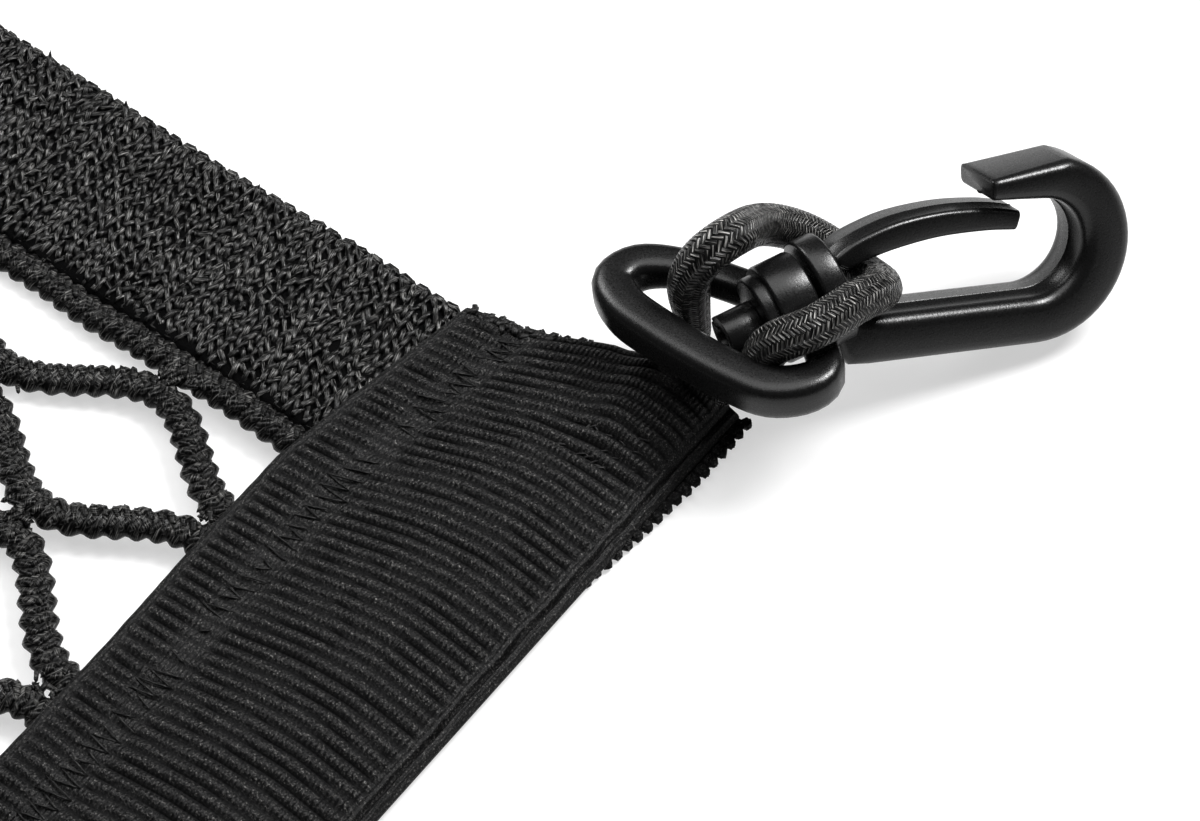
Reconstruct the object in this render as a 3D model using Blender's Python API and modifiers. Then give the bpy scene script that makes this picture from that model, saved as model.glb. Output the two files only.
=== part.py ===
# A small elastic cargo net: knitted border bands and mesh, ribbed webbing on the short sides,
# and at each corner a moulded snap hook held by a loop of elastic cord.
# Metres, +Z up, origin on the floor under the middle of the net.
# X runs along the border bands and Y along the webbing. The corner at +X +Y is drawn, and mirrored.
import bpy
import bmesh
import math
from mathutils import Matrix, Vector

GAP = 0.0003

# knitted panel
MESH_COLUMNS = 16
COLUMN_STEP = 0.022
STRAND_WIDTH = 0.0055
NET_THICKNESS = 0.0036
BAND_OUTER_Y = 0.119
NET_END_X = 0.190
# rows of strand crossings on every odd and every even column; the last odd row touches the border band
ODD_ROWS = (0.018, 0.054, 0.0840)
EVEN_ROWS = (0.0, 0.036, 0.069)

# webbing
INNER_X = 0.176
WEBBING_WIDTH = 0.046
WEBBING_THICKNESS = 0.0013
LOWER_PROUD = 0.002
LOWER_TOP = WEBBING_THICKNESS
NET_LIFT = LOWER_TOP + GAP
# across the webbing, from its inner edge: height of the upper layer's underside
UPPER_PROFILE = (
    # across, underside
    (0.000, 0.0053),
    (0.004, 0.0051),
    (0.009, 0.0043),
    (0.014, 0.0048),
    (0.023, 0.0054),
    (0.032, 0.0049),
    (0.039, 0.0034),
    (0.043, 0.0022),
    (0.046, 0.0017),
)
# across the webbing, from its inner edge: how far its cut end reaches along Y
END_PROFILE = (
    # across, end
    (0.000, 0.1183),
    (0.012, 0.1212),
    (0.024, 0.1260),
    (0.033, 0.1284),
    (0.048, 0.1296),
)
# along the webbing, from its middle: how far the inner edge wanders outward
INNER_WANDER = (
    # along, shift
    (0.000, 0.0016),
    (0.025, 0.0024),
    (0.045, 0.0018),
    (0.065, 0.0006),
    (0.082, 0.0000),
    (0.095, 0.0014),
    (0.106, 0.0030),
    (0.119, 0.0048),
)

# snap hook, in its own frame: X along the straight spine from its root to the bend,
# Y from the spine to the gate, Z across the thickness
HOOK_ROOT = (0.22892, 0.14106, 0.01000)
HOOK_HEADING = math.radians(55.3)
HOOK_DROOP = math.radians(13.0)
HOOK_LEAN = math.radians(31.0)
HOOK_THICKNESS = 0.0096
HOOK_EDGE = 0.0008
SPINE_DEPTH = 0.0066
BEND_OUTER = {"centre": (0.0314, 0.0135), "radius": 0.0135, "from": -90, "to": 78}
BEND_INNER = {"centre": (0.0305, 0.0140), "radius": 0.0074, "from": -90, "to": 88}
NOSE_TIP_X = 0.0221
NOSE_TIP_Y = (0.0224, 0.0242)
BASE_TOP = ((-0.0022, 0.0170), (-0.0052, 0.0164))
BASE_FOOT = (-0.0010, 0.0014)

# swivel pin of the hook and the barrel round it; the axis leans out of the spine's direction
SWIVEL_POINT = (-0.0025, 0.0096)
SWIVEL_TILT = math.radians(20.0)
PIN_RADIUS = 0.0023
PIN_HEAD_RADIUS = 0.0031
PIN_HEAD_START = 0.0099
PIN_END = 0.0149
PIN_HOLLOW_RADIUS = 0.0017
PIN_HOLLOW_DEPTH = 0.0025
# the barrel and the hook's flange are oval: half their height, then half their width across the hook
BARREL_START = 0.0020
BARREL_END = 0.0095
BARREL_OVAL = (0.0068, 0.0053)
BARREL_BORE = 0.0027
FLANGE_START = 0.0001
FLANGE_END = 0.0016
FLANGE_OVAL = (0.0080, 0.0056)

# eye ring: its bar's direction, then its centre line in the plane of the swivel axis and the bar
BAR_DIRECTION = (0.975, -0.170, 0.140)
RING_STEP = 0.0032
RING_ROUTE = (
    # back along the swivel axis, along the bar, section radius
    (0.0060, -0.0040, 0.0026),
    (0.0072, -0.0092, 0.0026),
    (0.0096, -0.0148, 0.0030),
    (0.0138, -0.0185, 0.0036),
    (0.0184, -0.0174, 0.0038),
    (0.0208, -0.0122, 0.0039),
    (0.0212, -0.0055, 0.0039),
    (0.0211, 0.0010, 0.0039),
    (0.0205, 0.0074, 0.0039),
    (0.0189, 0.0130, 0.0039),
    (0.0146, 0.0151, 0.0037),
    (0.0100, 0.0137, 0.0031),
    (0.0070, 0.0090, 0.0025),
    (0.0060, 0.0042, 0.0024),
)

# gate leaf, in the hook's frame
GATE_WIDTH = 0.0062
GATE_PIVOT = (0.0004, 0.0151)
GATE_ROOT_RADIUS = 0.0015
GATE_TOP = ((0.0030, 0.0181), (0.0085, 0.0198), (0.0160, 0.0206), (0.0230, 0.0202), (0.0272, 0.0194))
GATE_UNDER = ((0.0267, 0.0172), (0.0220, 0.0174), (0.0148, 0.0171), (0.0080, 0.0160), (0.0030, 0.0146))

# elastic cord loop, from the webbing's end up through the ring, through the hook's mouth and back
CORD_RADIUS = 0.0025
CORD_STEP = 0.0040
LEG_UP = (
    (0.2108, 0.1310, 0.0048),
    (0.2110, 0.1325, 0.0078),
    (0.2109, 0.1326, 0.0120),
    (0.2107, 0.1324, 0.0170),
    (0.2107, 0.1319, 0.0220),
    (0.2116, 0.1330, 0.0272),
    (0.2139, 0.1366, 0.0306),
)
# the part round the hook, in the hook's frame
ROUND_HOOK = (
    (-0.0075, 0.0182, -0.0094),
    (-0.0022, 0.0168, -0.0100),
    (0.0026, 0.0137, -0.0081),
    (0.0052, 0.0113, -0.0042),
    (0.0058, 0.0106, 0.0006),
    (0.0048, 0.0108, 0.0052),
    (0.0016, 0.0112, 0.0090),
    (-0.0036, 0.0108, 0.0110),
    (-0.0090, 0.0091, 0.0127),
)
LEG_DOWN = (
    (0.2258, 0.1300, 0.0226),
    (0.2250, 0.1301, 0.0172),
    (0.2230, 0.1308, 0.0120),
    (0.2216, 0.1325, 0.0076),
    (0.2206, 0.1316, 0.0048),
)

CORNERS = ((1, 1), (-1, 1), (-1, -1), (1, -1))


def clear_scene():
    for obj in list(bpy.data.objects):
        bpy.data.objects.remove(obj, do_unlink=True)


def collection(name):
    made = bpy.data.collections.new(name)
    bpy.context.scene.collection.children.link(made)
    return made


def plain_material(name, colour, roughness):
    mat = bpy.data.materials.new(name)
    mat.use_nodes = True
    shader = mat.node_tree.nodes["Principled BSDF"]
    shader.inputs["Base Color"].default_value = (*colour, 1.0)
    shader.inputs["Roughness"].default_value = roughness
    shader.inputs["Metallic"].default_value = 0.0
    return mat


def table_value(table, at):
    """Straight-line reading of a two-column table."""
    for (x0, y0), (x1, y1) in zip(table, table[1:]):
        if at <= x1:
            share = max(0.0, (at - x0) / (x1 - x0))
            return y0 + share * (y1 - y0)
    return table[-1][1]


def smooth_step(share):
    share = min(1.0, max(0.0, share))
    return share * share * (3.0 - 2.0 * share)


def smooth_route(points, step):
    """Points about a step apart on a smooth curve through the given points."""
    points = [Vector(p) for p in points]
    padded = [2 * points[0] - points[1]] + points + [2 * points[-1] - points[-2]]
    fine = []
    for i in range(1, len(padded) - 2):
        p0, p1, p2, p3 = padded[i - 1 : i + 3]
        for k in range(24):
            t = k / 24
            fine.append(
                0.5 * (2 * p1 + (p2 - p0) * t + (2 * p0 - 5 * p1 + 4 * p2 - p3) * t**2
                       + (3 * p1 - p0 - 3 * p2 + p3) * t**3)
            )
    fine.append(points[-1])
    run = [0.0]
    for a, b in zip(fine, fine[1:]):
        run.append(run[-1] + (b - a).to_3d().length)
    count = max(2, round(run[-1] / step))
    out = []
    at = 0
    for k in range(count + 1):
        want = run[-1] * k / count
        while at < len(run) - 2 and run[at + 1] < want:
            at += 1
        share = (want - run[at]) / (run[at + 1] - run[at])
        out.append(fine[at].lerp(fine[at + 1], share))
    return out


def arc(spec, count):
    cx, cy = spec["centre"]
    for k in range(count + 1):
        angle = math.radians(spec["from"] + (spec["to"] - spec["from"]) * k / count)
        yield (cx + spec["radius"] * math.cos(angle), cy + spec["radius"] * math.sin(angle))


def flat_solid(name, outlines, thickness, into):
    """A flat outline with its holes, filled and extruded, as a mesh centred on Z = 0."""
    curve = bpy.data.curves.new(name, "CURVE")
    curve.dimensions = "2D"
    curve.fill_mode = "BOTH"
    curve.extrude = thickness / 2
    for outline in outlines:
        spline = curve.splines.new("POLY")
        spline.points.add(len(outline) - 1)
        for point, (x, y) in zip(spline.points, outline):
            point.co = (x, y, 0.0, 1.0)
        spline.use_cyclic_u = True
    return curve_to_mesh(name, curve, into)


def tube(name, route, radii, resolution, into):
    """A round tube along a route, as a mesh with closed ends."""
    curve = bpy.data.curves.new(name, "CURVE")
    curve.dimensions = "3D"
    curve.bevel_depth = max(radii)
    curve.bevel_resolution = resolution
    curve.use_fill_caps = True
    spline = curve.splines.new("POLY")
    spline.points.add(len(route) - 1)
    for point, place, radius in zip(spline.points, route, radii):
        point.co = (*place, 1.0)
        point.radius = radius / max(radii)
    return curve_to_mesh(name, curve, into)


def curve_to_mesh(name, curve, into):
    guide = bpy.data.objects.new(name + "_curve", curve)
    into.objects.link(guide)
    bpy.context.view_layer.update()
    evaluated = guide.evaluated_get(bpy.context.evaluated_depsgraph_get())
    mesh = bpy.data.meshes.new_from_object(evaluated)
    mesh.name = name
    work = bmesh.new()
    work.from_mesh(mesh)
    bmesh.ops.remove_doubles(work, verts=work.verts, dist=0.000001)
    bmesh.ops.recalc_face_normals(work, faces=work.faces)
    work.to_mesh(mesh)
    work.free()
    bpy.data.objects.remove(guide, do_unlink=True)
    obj = bpy.data.objects.new(name, mesh)
    into.objects.link(obj)
    return obj


def rod(name, start, end, axis_point, axis, radius, sides, into):
    """A cylinder between two distances along an axis."""
    mesh = bpy.data.meshes.new(name)
    work = bmesh.new()
    bmesh.ops.create_cone(
        work, cap_ends=True, segments=sides, radius1=radius, radius2=radius, depth=abs(end - start)
    )
    turn = axis.to_track_quat("Z", "Y").to_matrix().to_4x4()
    middle = axis_point + axis * (start + end) / 2
    bmesh.ops.transform(work, matrix=Matrix.Translation(middle) @ turn, verts=work.verts)
    work.to_mesh(mesh)
    work.free()
    obj = bpy.data.objects.new(name, mesh)
    into.objects.link(obj)
    return obj


def oval_rod(name, start, end, axis_point, axis, half_sizes, sides, into):
    """A rod of oval section, narrowed across the hook."""
    tall, wide = half_sizes
    obj = rod(name, start, end, axis_point, axis, tall, sides, into)
    for vert in obj.data.vertices:
        vert.co.z *= wide / tall
    return obj


def combine(obj, other, operation):
    """Cut or join by an exact boolean, applied to the object's mesh."""
    modifier = obj.modifiers.new(operation.title(), "BOOLEAN")
    modifier.operation = operation
    modifier.object = other
    modifier.solver = "EXACT"
    bpy.context.view_layer.update()
    evaluated = obj.evaluated_get(bpy.context.evaluated_depsgraph_get())
    mesh = bpy.data.meshes.new_from_object(evaluated)
    obj.modifiers.clear()
    old = obj.data
    obj.data = mesh
    mesh.name = old.name
    bpy.data.meshes.remove(old)
    other.hide_render = True
    other.display_type = "WIRE"
    return obj


def soften_rims(obj, width):
    """One chamfer round the flat faces' rims."""
    work = bmesh.new()
    work.from_mesh(obj.data)
    bmesh.ops.dissolve_limit(
        work, angle_limit=math.radians(1.0), verts=work.verts, edges=work.edges
    )
    rims = [
        edge for edge in work.edges
        if len(edge.link_faces) == 2
        and (abs(edge.link_faces[0].normal.z) > 0.99) != (abs(edge.link_faces[1].normal.z) > 0.99)
    ]
    bmesh.ops.bevel(work, geom=rims, offset=width, segments=1, affect="EDGES", clamp_overlap=True)
    work.to_mesh(obj.data)
    work.free()


# ---- knitted panel


def cell_outline(column, row, up, down, side_limit):
    """One gap of the mesh, between the strands that part at one crossing and meet at the next."""
    centre = (column - MESH_COLUMNS / 2) * COLUMN_STEP
    half = STRAND_WIDTH / 2

    def edge(dx, height):
        if height <= 0:
            return 0.0
        swing = height - STRAND_WIDTH
        rise = (1 + math.cos(math.pi * dx / COLUMN_STEP)) / 2
        slope = swing * math.pi / (2 * COLUMN_STEP) * math.sin(math.pi * dx / COLUMN_STEP)
        return max(0.0, half + swing * rise - half * math.hypot(1.0, slope))

    shares = (-0.84, -0.54, 0.0, 0.54, 0.84)
    low, high = side_limit
    across = sorted({min(high, max(low, share * COLUMN_STEP)) for share in shares})
    upper = [(centre + dx, row + max(edge(dx, up), 0.0003)) for dx in across]
    lower = [(centre + dx, row - max(edge(dx, down), 0.0003)) for dx in across]
    return lower + upper[::-1]


def mesh_cells():
    """Every gap: (column, row, height above, height below)."""
    for column in range(0, MESH_COLUMNS + 1):
        if column % 2:
            rows = [(0.0, ODD_ROWS[0], ODD_ROWS[0])]
            rows += [(EVEN_ROWS[1], ODD_ROWS[1] - EVEN_ROWS[1], EVEN_ROWS[1] - ODD_ROWS[0])]
            rows += [(EVEN_ROWS[2], ODD_ROWS[2] - EVEN_ROWS[2], EVEN_ROWS[2] - ODD_ROWS[1])]
        else:
            rows = [(ODD_ROWS[0], EVEN_ROWS[1] - ODD_ROWS[0], ODD_ROWS[0] - EVEN_ROWS[0])]
            rows += [(ODD_ROWS[1], EVEN_ROWS[2] - ODD_ROWS[1], ODD_ROWS[1] - EVEN_ROWS[1])]
            rows += [(ODD_ROWS[2], 0.0, ODD_ROWS[2] - EVEN_ROWS[2])]
        for row, up, down in rows:
            yield column, row, up, down
            if row > 0:
                yield column, -row, down, up


def build_net(into):
    edge_x = [(k - MESH_COLUMNS / 2) * COLUMN_STEP for k in range(0, MESH_COLUMNS + 1)]
    top = [(x, BAND_OUTER_Y) for x in edge_x]
    inset = BAND_OUTER_Y - 0.0006
    outline = [(-NET_END_X, -inset)] + [(x, -y) for x, y in top] + [(NET_END_X, -inset)]
    outline += [(NET_END_X, inset)] + top[::-1] + [(-NET_END_X, inset)]
    holes = []
    for column, row, up, down in mesh_cells():
        limit = (-COLUMN_STEP, COLUMN_STEP)
        if column == 0:
            limit = (-0.008, COLUMN_STEP)
        if column == MESH_COLUMNS:
            limit = (-COLUMN_STEP, 0.008)
        holes.append(cell_outline(column, row, up, down, limit))
    net = flat_solid("net", [outline] + holes, NET_THICKNESS, into)
    for vert in net.data.vertices:
        x = abs(vert.co.x)
        lift = NET_LIFT * smooth_step((x - 0.128) / (0.166 - 0.128))
        squeeze = 0.0010 * smooth_step((x - 0.1700) / 0.008)
        if vert.co.z > 0:
            vert.co.z = NET_THICKNESS + lift - squeeze
        else:
            vert.co.z = lift
    return net


# ---- webbing


def build_webbing(name, side, upper, into):
    """One layer, an open sheet given its thickness by Solidify."""
    columns, rows = (10, 16) if upper else (4, 12)
    mesh = bpy.data.meshes.new(name)
    work = bmesh.new()
    bmesh.ops.create_grid(work, x_segments=columns, y_segments=rows, size=1.0)
    width = WEBBING_WIDTH if upper else WEBBING_WIDTH + LOWER_PROUD
    for vert in work.verts:
        across = (vert.co.x + 1) / 2 * width
        end = table_value(END_PROFILE, across)
        along = vert.co.y * end
        shift = table_value(INNER_WANDER, abs(along)) * (1 - across / width)
        height = table_value(UPPER_PROFILE, across) if upper else 0.0
        vert.co = (side * (INNER_X + across + shift), along, height)
    if side < 0:
        bmesh.ops.reverse_faces(work, faces=work.faces)
    work.to_mesh(mesh)
    work.free()
    obj = bpy.data.objects.new(name, mesh)
    into.objects.link(obj)
    solid = obj.modifiers.new("Solidify", "SOLIDIFY")
    solid.thickness = WEBBING_THICKNESS
    solid.offset = 1.0
    return obj


# ---- corner fittings


def hook_matrix():
    heading = Vector((math.cos(HOOK_HEADING), math.sin(HOOK_HEADING), 0.0))
    along = heading * math.cos(HOOK_DROOP) - Vector((0, 0, math.sin(HOOK_DROOP)))
    side = Vector((heading.y, -heading.x, 0.0))
    above = side.cross(along)
    face = side * math.cos(HOOK_LEAN) + above * math.sin(HOOK_LEAN)
    rise = face.cross(along)
    turn = Matrix((along, rise, face)).transposed().to_4x4()
    return Matrix.Translation(HOOK_ROOT) @ turn


def swivel_axis():
    """A point on the swivel axis and its direction, in the hook's frame."""
    point = Vector((*SWIVEL_POINT, 0.0))
    return point, Vector((math.cos(SWIVEL_TILT), math.sin(SWIVEL_TILT), 0.0))


def build_hook(name, into, cutters):
    outline = [(-0.0010, 0.0002), (0.0016, 0.0)]
    outline += list(arc(BEND_OUTER, 12))
    outline += [(NOSE_TIP_X, NOSE_TIP_Y[1]), (NOSE_TIP_X, NOSE_TIP_Y[0])]
    outline += list(arc(BEND_INNER, 10))[::-1]
    outline += [(0.0012, SPINE_DEPTH), BASE_TOP[0], BASE_TOP[1], BASE_FOOT]
    hook = flat_solid(name, [outline], HOOK_THICKNESS, into)
    soften_rims(hook, HOOK_EDGE)
    point, axis = swivel_axis()
    shaft = rod(name + "_shaft", -0.0005, -PIN_END + 0.0003, point, axis, PIN_RADIUS, 16, cutters)
    head = rod(name + "_head", -PIN_HEAD_START, -PIN_END, point, axis, PIN_HEAD_RADIUS, 20, cutters)
    hollow = rod(
        name + "_hollow", -PIN_END + PIN_HOLLOW_DEPTH, -PIN_END - 0.001, point, axis,
        PIN_HOLLOW_RADIUS, 16, cutters,
    )
    flange = oval_rod(
        name + "_flange", -FLANGE_START, -FLANGE_END, point, axis, FLANGE_OVAL, 32, cutters
    )
    combine(hook, flange, "UNION")
    combine(hook, shaft, "UNION")
    combine(hook, head, "UNION")
    combine(hook, hollow, "DIFFERENCE")
    return hook


def build_ring(name, into, cutters):
    """The ring and its barrel, in the hook's frame."""
    point, axis = swivel_axis()
    bar = (hook_matrix().to_3x3().inverted() @ Vector(BAR_DIRECTION)).normalized()
    places = []
    for back, along, radius in RING_ROUTE:
        place = point - axis * back + bar * along
        places.append(Vector((*place, radius)))
    smooth = smooth_route([tuple(p) for p in places], RING_STEP)
    ring = tube(name, [p.to_3d() for p in smooth], [p.w for p in smooth], 2, into)
    barrel = oval_rod(
        name + "_barrel", -BARREL_START, -BARREL_END, point, axis, BARREL_OVAL, 32, cutters
    )
    bore = rod(name + "_bore", -BARREL_START + 0.002, -BARREL_END - 0.002, point, axis, BARREL_BORE, 20, cutters)
    combine(ring, barrel, "UNION")
    combine(ring, bore, "DIFFERENCE")
    return ring


def build_gate(name, into):
    """The leaf, with its origin on its flexing line."""
    px, py = GATE_PIVOT
    root = {"centre": GATE_PIVOT, "radius": GATE_ROOT_RADIUS, "from": 120, "to": 290}
    outline = list(GATE_TOP)[::-1] + list(arc(root, 6)) + list(GATE_UNDER)[::-1]
    outline = [(x - px, y - py) for x, y in outline]
    gate = flat_solid(name, [outline], GATE_WIDTH, into)
    soften_rims(gate, 0.0005)
    return gate


def build_cord(name, into):
    place = hook_matrix()
    middle = [tuple(place @ Vector(p)) for p in ROUND_HOOK]
    route = smooth_route(list(LEG_UP) + middle + list(LEG_DOWN), CORD_STEP)
    return tube(name, route, [CORD_RADIUS] * len(route), 2, into)


def smooth_shade(obj):
    obj.data.shade_smooth()
    obj.data.set_sharp_from_angle(angle=math.radians(40))


def main():
    clear_scene()
    parts = collection("cargo_net")
    cutters = collection("cutters")
    knit = plain_material("black_knit", (0.012, 0.012, 0.013), 0.75)
    ribbed = plain_material("black_ribbed_webbing", (0.010, 0.010, 0.011), 0.80)
    braid = plain_material("black_braid", (0.014, 0.013, 0.013), 0.60)
    plastic = plain_material("black_plastic", (0.012, 0.012, 0.012), 0.42)
    leaf = plain_material("black_plastic_gate", (0.014, 0.014, 0.014), 0.42)
    eye = plain_material("black_plastic_ring", (0.011, 0.011, 0.011), 0.45)

    net = build_net(parts)
    net.data.materials.append(knit)
    for side, word in ((1, "right"), (-1, "left")):
        for layer in ("upper", "lower"):
            sheet = build_webbing(f"webbing_{layer}_{word}", side, layer == "upper", parts)
            sheet.data.materials.append(ribbed)

    place = hook_matrix()
    for number, (sx, sy) in enumerate(CORNERS, start=1):
        corner = bpy.data.objects.new(f"corner_{number}", None)
        corner.scale = (sx, sy, 1)
        parts.objects.link(corner)
        hook = build_hook(f"hook_{number}", parts, cutters)
        ring = build_ring(f"eye_ring_{number}", parts, cutters)
        gate = build_gate(f"gate_{number}", parts)
        cord = build_cord(f"cord_loop_{number}", parts)
        for obj, material in ((hook, plastic), (ring, eye), (gate, leaf), (cord, braid)):
            obj.parent = corner
            obj.data.materials.clear()
            obj.data.materials.append(material)
            smooth_shade(obj)
        hook.matrix_local = place
        ring.matrix_local = place
        gate.matrix_local = place @ Matrix.Translation((*GATE_PIVOT, 0.0))
    bpy.context.view_layer.update()


main()
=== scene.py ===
import math

import bmesh
import bpy
import numpy as np
from mathutils import Matrix, Vector, noise


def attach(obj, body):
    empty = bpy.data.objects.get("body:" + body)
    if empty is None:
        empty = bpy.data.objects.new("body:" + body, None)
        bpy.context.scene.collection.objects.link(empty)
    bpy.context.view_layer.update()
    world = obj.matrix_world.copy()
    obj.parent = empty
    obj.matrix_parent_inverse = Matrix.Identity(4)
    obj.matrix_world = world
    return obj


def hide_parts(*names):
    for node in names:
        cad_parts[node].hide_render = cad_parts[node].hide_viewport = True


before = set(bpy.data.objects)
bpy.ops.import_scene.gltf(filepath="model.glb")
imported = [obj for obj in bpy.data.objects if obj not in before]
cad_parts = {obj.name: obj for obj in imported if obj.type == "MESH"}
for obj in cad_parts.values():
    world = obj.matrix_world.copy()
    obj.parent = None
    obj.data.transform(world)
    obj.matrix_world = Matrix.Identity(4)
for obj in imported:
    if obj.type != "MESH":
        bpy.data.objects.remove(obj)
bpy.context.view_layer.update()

corners = ((1, 1), (-1, 1), (-1, -1), (1, -1))
body = "netting"


# small helpers
def lerpTable(table, at):
    xs, ys = zip(*table)
    return np.interp(at, xs, ys)


def smoothStep(share):
    share = np.clip(share, 0.0, 1.0)
    return share * share * (3 - 2 * share)


def smoothRoute(points, step):
    # a rounded route through the points, cut into equal steps
    p = np.array(points, dtype=float)
    p = np.vstack([2 * p[0] - p[1], p, 2 * p[-1] - p[-2]])
    t = np.linspace(0, 1, 24, endpoint=False)[:, None]
    fine = []
    for i in range(1, len(p) - 2):
        a, b, c, d = p[i - 1:i + 3]
        fine.append(0.5 * (2 * b + (c - a) * t + (2 * a - 5 * b + 4 * c - d) * t**2
                           + (3 * b - a - 3 * c + d) * t**3))
    fine = np.vstack(fine + [p[-2][None]])
    run = np.concatenate([[0], np.cumsum(np.linalg.norm(np.diff(fine[:, :3], axis=0), axis=1))])
    count = max(2, round(run[-1] / step))
    want = np.linspace(0, run[-1], count + 1)
    return np.stack([np.interp(want, run, fine[:, k]) for k in range(fine.shape[1])], axis=1)


def relaxPath(path, reach):
    # evens out the bends along a path, its ends kept
    k = np.arange(-3 * reach, 3 * reach + 1)
    weight = np.exp(-0.5 * (k / reach) ** 2)
    weight /= weight.sum()

    def blur(points):
        n = 3 * reach
        head, tail = 2 * points[0] - points[n:0:-1], 2 * points[-1] - points[-2:-n - 2:-1]
        padded = np.vstack([head, points, tail])
        return np.stack([np.convolve(padded[:, c], weight, "valid") for c in range(3)], 1)

    soft = blur(path)
    return soft + blur(path - soft)


def turnWithPath(path, firstSide):
    # tangent, side and up at each point, carried along without twist
    tangent = np.gradient(path, axis=0)
    tangent /= np.linalg.norm(tangent, axis=1)[:, None]
    side = np.array(firstSide, dtype=float)
    sides = []
    for t in tangent:
        side = side - t * side.dot(t)
        side /= np.linalg.norm(side)
        sides.append(side)
    sides = np.array(sides)
    return tangent, sides, np.cross(tangent, sides)


def emptyPile():
    return {"verts": [], "faces": [], "uvs": [], "crown": [], "count": 0}


def addTube(pile, rings, along, around, crown=None):
    # rings is rows x points x 3; along and around give the pattern's coordinates
    rows, points = rings.shape[:2]
    first = pile["count"]
    pile["verts"].append(rings.reshape(-1, 3))
    pile["crown"].append(np.ones(rows * points) if crown is None else np.asarray(crown).ravel())
    pile["count"] += rows * points
    i, j = np.meshgrid(np.arange(rows - 1), np.arange(points), indexing="ij")
    k = (j + 1) % points
    quads = np.stack([i * points + j, i * points + k, (i + 1) * points + k, (i + 1) * points + j], -1)
    pile["faces"] += (quads.reshape(-1, 4) + first).tolist()
    around = np.append(around, around[-1] + (around[1] - around[0]))
    uv = np.stack([
        np.stack([around[j], along[i]], -1), np.stack([around[j + 1], along[i]], -1),
        np.stack([around[j + 1], along[i + 1]], -1), np.stack([around[j], along[i + 1]], -1)], 2)
    pile["uvs"].append(uv.reshape(-1, 2))
    for row, step in ((0, -1), (rows - 1, 1)):
        ring = list(range(first + row * points, first + (row + 1) * points))[::step]
        pile["faces"].append(ring)
        pile["uvs"].append(np.tile([around[0], along[row]], (points, 1)))


# a plump leaf of yarn, one unit long and wide
leafRings = ((-0.30, 0.78), (0.22, 0.92))


def leafShape(sides=4):
    verts = [(0, -0.5, -0.1)]
    for y, size in leafRings:
        for k in range(sides):
            angle = 2 * math.pi * (k + 0.5) / sides
            verts.append((0.5 * size * math.cos(angle) * 1.3, y, 0.5 * size * math.sin(angle) * 1.3))
    verts.append((0, 0.5, -0.1))
    last = len(verts) - 1
    faces = []
    for k in range(sides):
        n = (k + 1) % sides
        faces.append((0, 1 + k, 1 + n))
        faces.append((1 + k, 1 + sides + k, 1 + sides + n, 1 + n))
        faces.append((1 + sides + k, last, 1 + sides + n))
    return np.array(verts), faces


def addLeaves(pile, places, headings, sizes, tilts, rng):
    # one leaf at each place: heading turns it flat, tilt lifts its far end
    shape, faces = leafShape()
    n = len(places)
    c, s = np.cos(headings), np.sin(headings)
    ct, st = np.cos(tilts), np.sin(tilts)
    local = shape[None] * sizes[:, None, :]
    y = local[..., 1] * ct[:, None] - local[..., 2] * st[:, None]
    z = local[..., 1] * st[:, None] + local[..., 2] * ct[:, None]
    x = local[..., 0]
    out = np.stack([x * c[:, None] - y * s[:, None], x * s[:, None] + y * c[:, None], z], -1)
    out += places[:, None, :]
    first = pile["count"]
    pile["verts"].append(out.reshape(-1, 3))
    # the ends of a leaf, tucked under the others, get painted shade, and some leaves are duller than others at
    # random
    crown = rng.uniform(0.25, 1.0, (n, 1)) * np.ones((1, len(shape)))
    crown[:, [0, -1]] = 0.0
    pile["crown"].append(crown.ravel())
    pile["count"] += n * len(shape)
    shift = rng.random((n, 2)) * 0.05
    for face in faces:
        ids = np.array(face)[None] + (np.arange(n) * len(shape))[:, None] + first
        pile["faces"] += ids.tolist()
        uv = np.stack([local[:, face, 0] + shift[:, :1], local[:, face, 1] + shift[:, 1:]], -1)
        pile["uvs"].append(uv.reshape(-1, 2))


def pilePiece(name, pile, mirror=(1, 1), angle=None):
    verts = np.vstack(pile["verts"]) * (mirror[0], mirror[1], 1)
    mesh = bpy.data.meshes.new(name)
    mesh.from_pydata(verts.tolist(), [], pile["faces"])
    layer = mesh.uv_layers.new(name="along")
    layer.data.foreach_set("uv", np.vstack(pile["uvs"]).astype(np.float32).ravel())
    # how high each point stands on its rib or stitch, 0 in the grooves; the finishes darken the colour by it, a
    # painted shade in the grooves
    crown = mesh.attributes.new("crown", "FLOAT", "POINT")
    crown.data.foreach_set("value", np.concatenate(pile["crown"]).astype(np.float32))
    if mirror[0] * mirror[1] < 0:
        mesh.flip_normals()
    mesh.shade_smooth()
    if angle:
        mesh.set_sharp_from_angle(angle=math.radians(angle))
    obj = bpy.data.objects.new(name, mesh)
    bpy.context.scene.collection.objects.link(obj)
    return obj


def dress(obj, material, rideOn=body):
    obj.data.materials.clear()
    obj.data.materials.append(material)
    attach(obj, rideOn)
    return obj


def deselectAll():
    if bpy.context.mode != "OBJECT":
        bpy.ops.object.mode_set(mode="OBJECT")
    bpy.ops.object.select_all(action="DESELECT")


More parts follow.
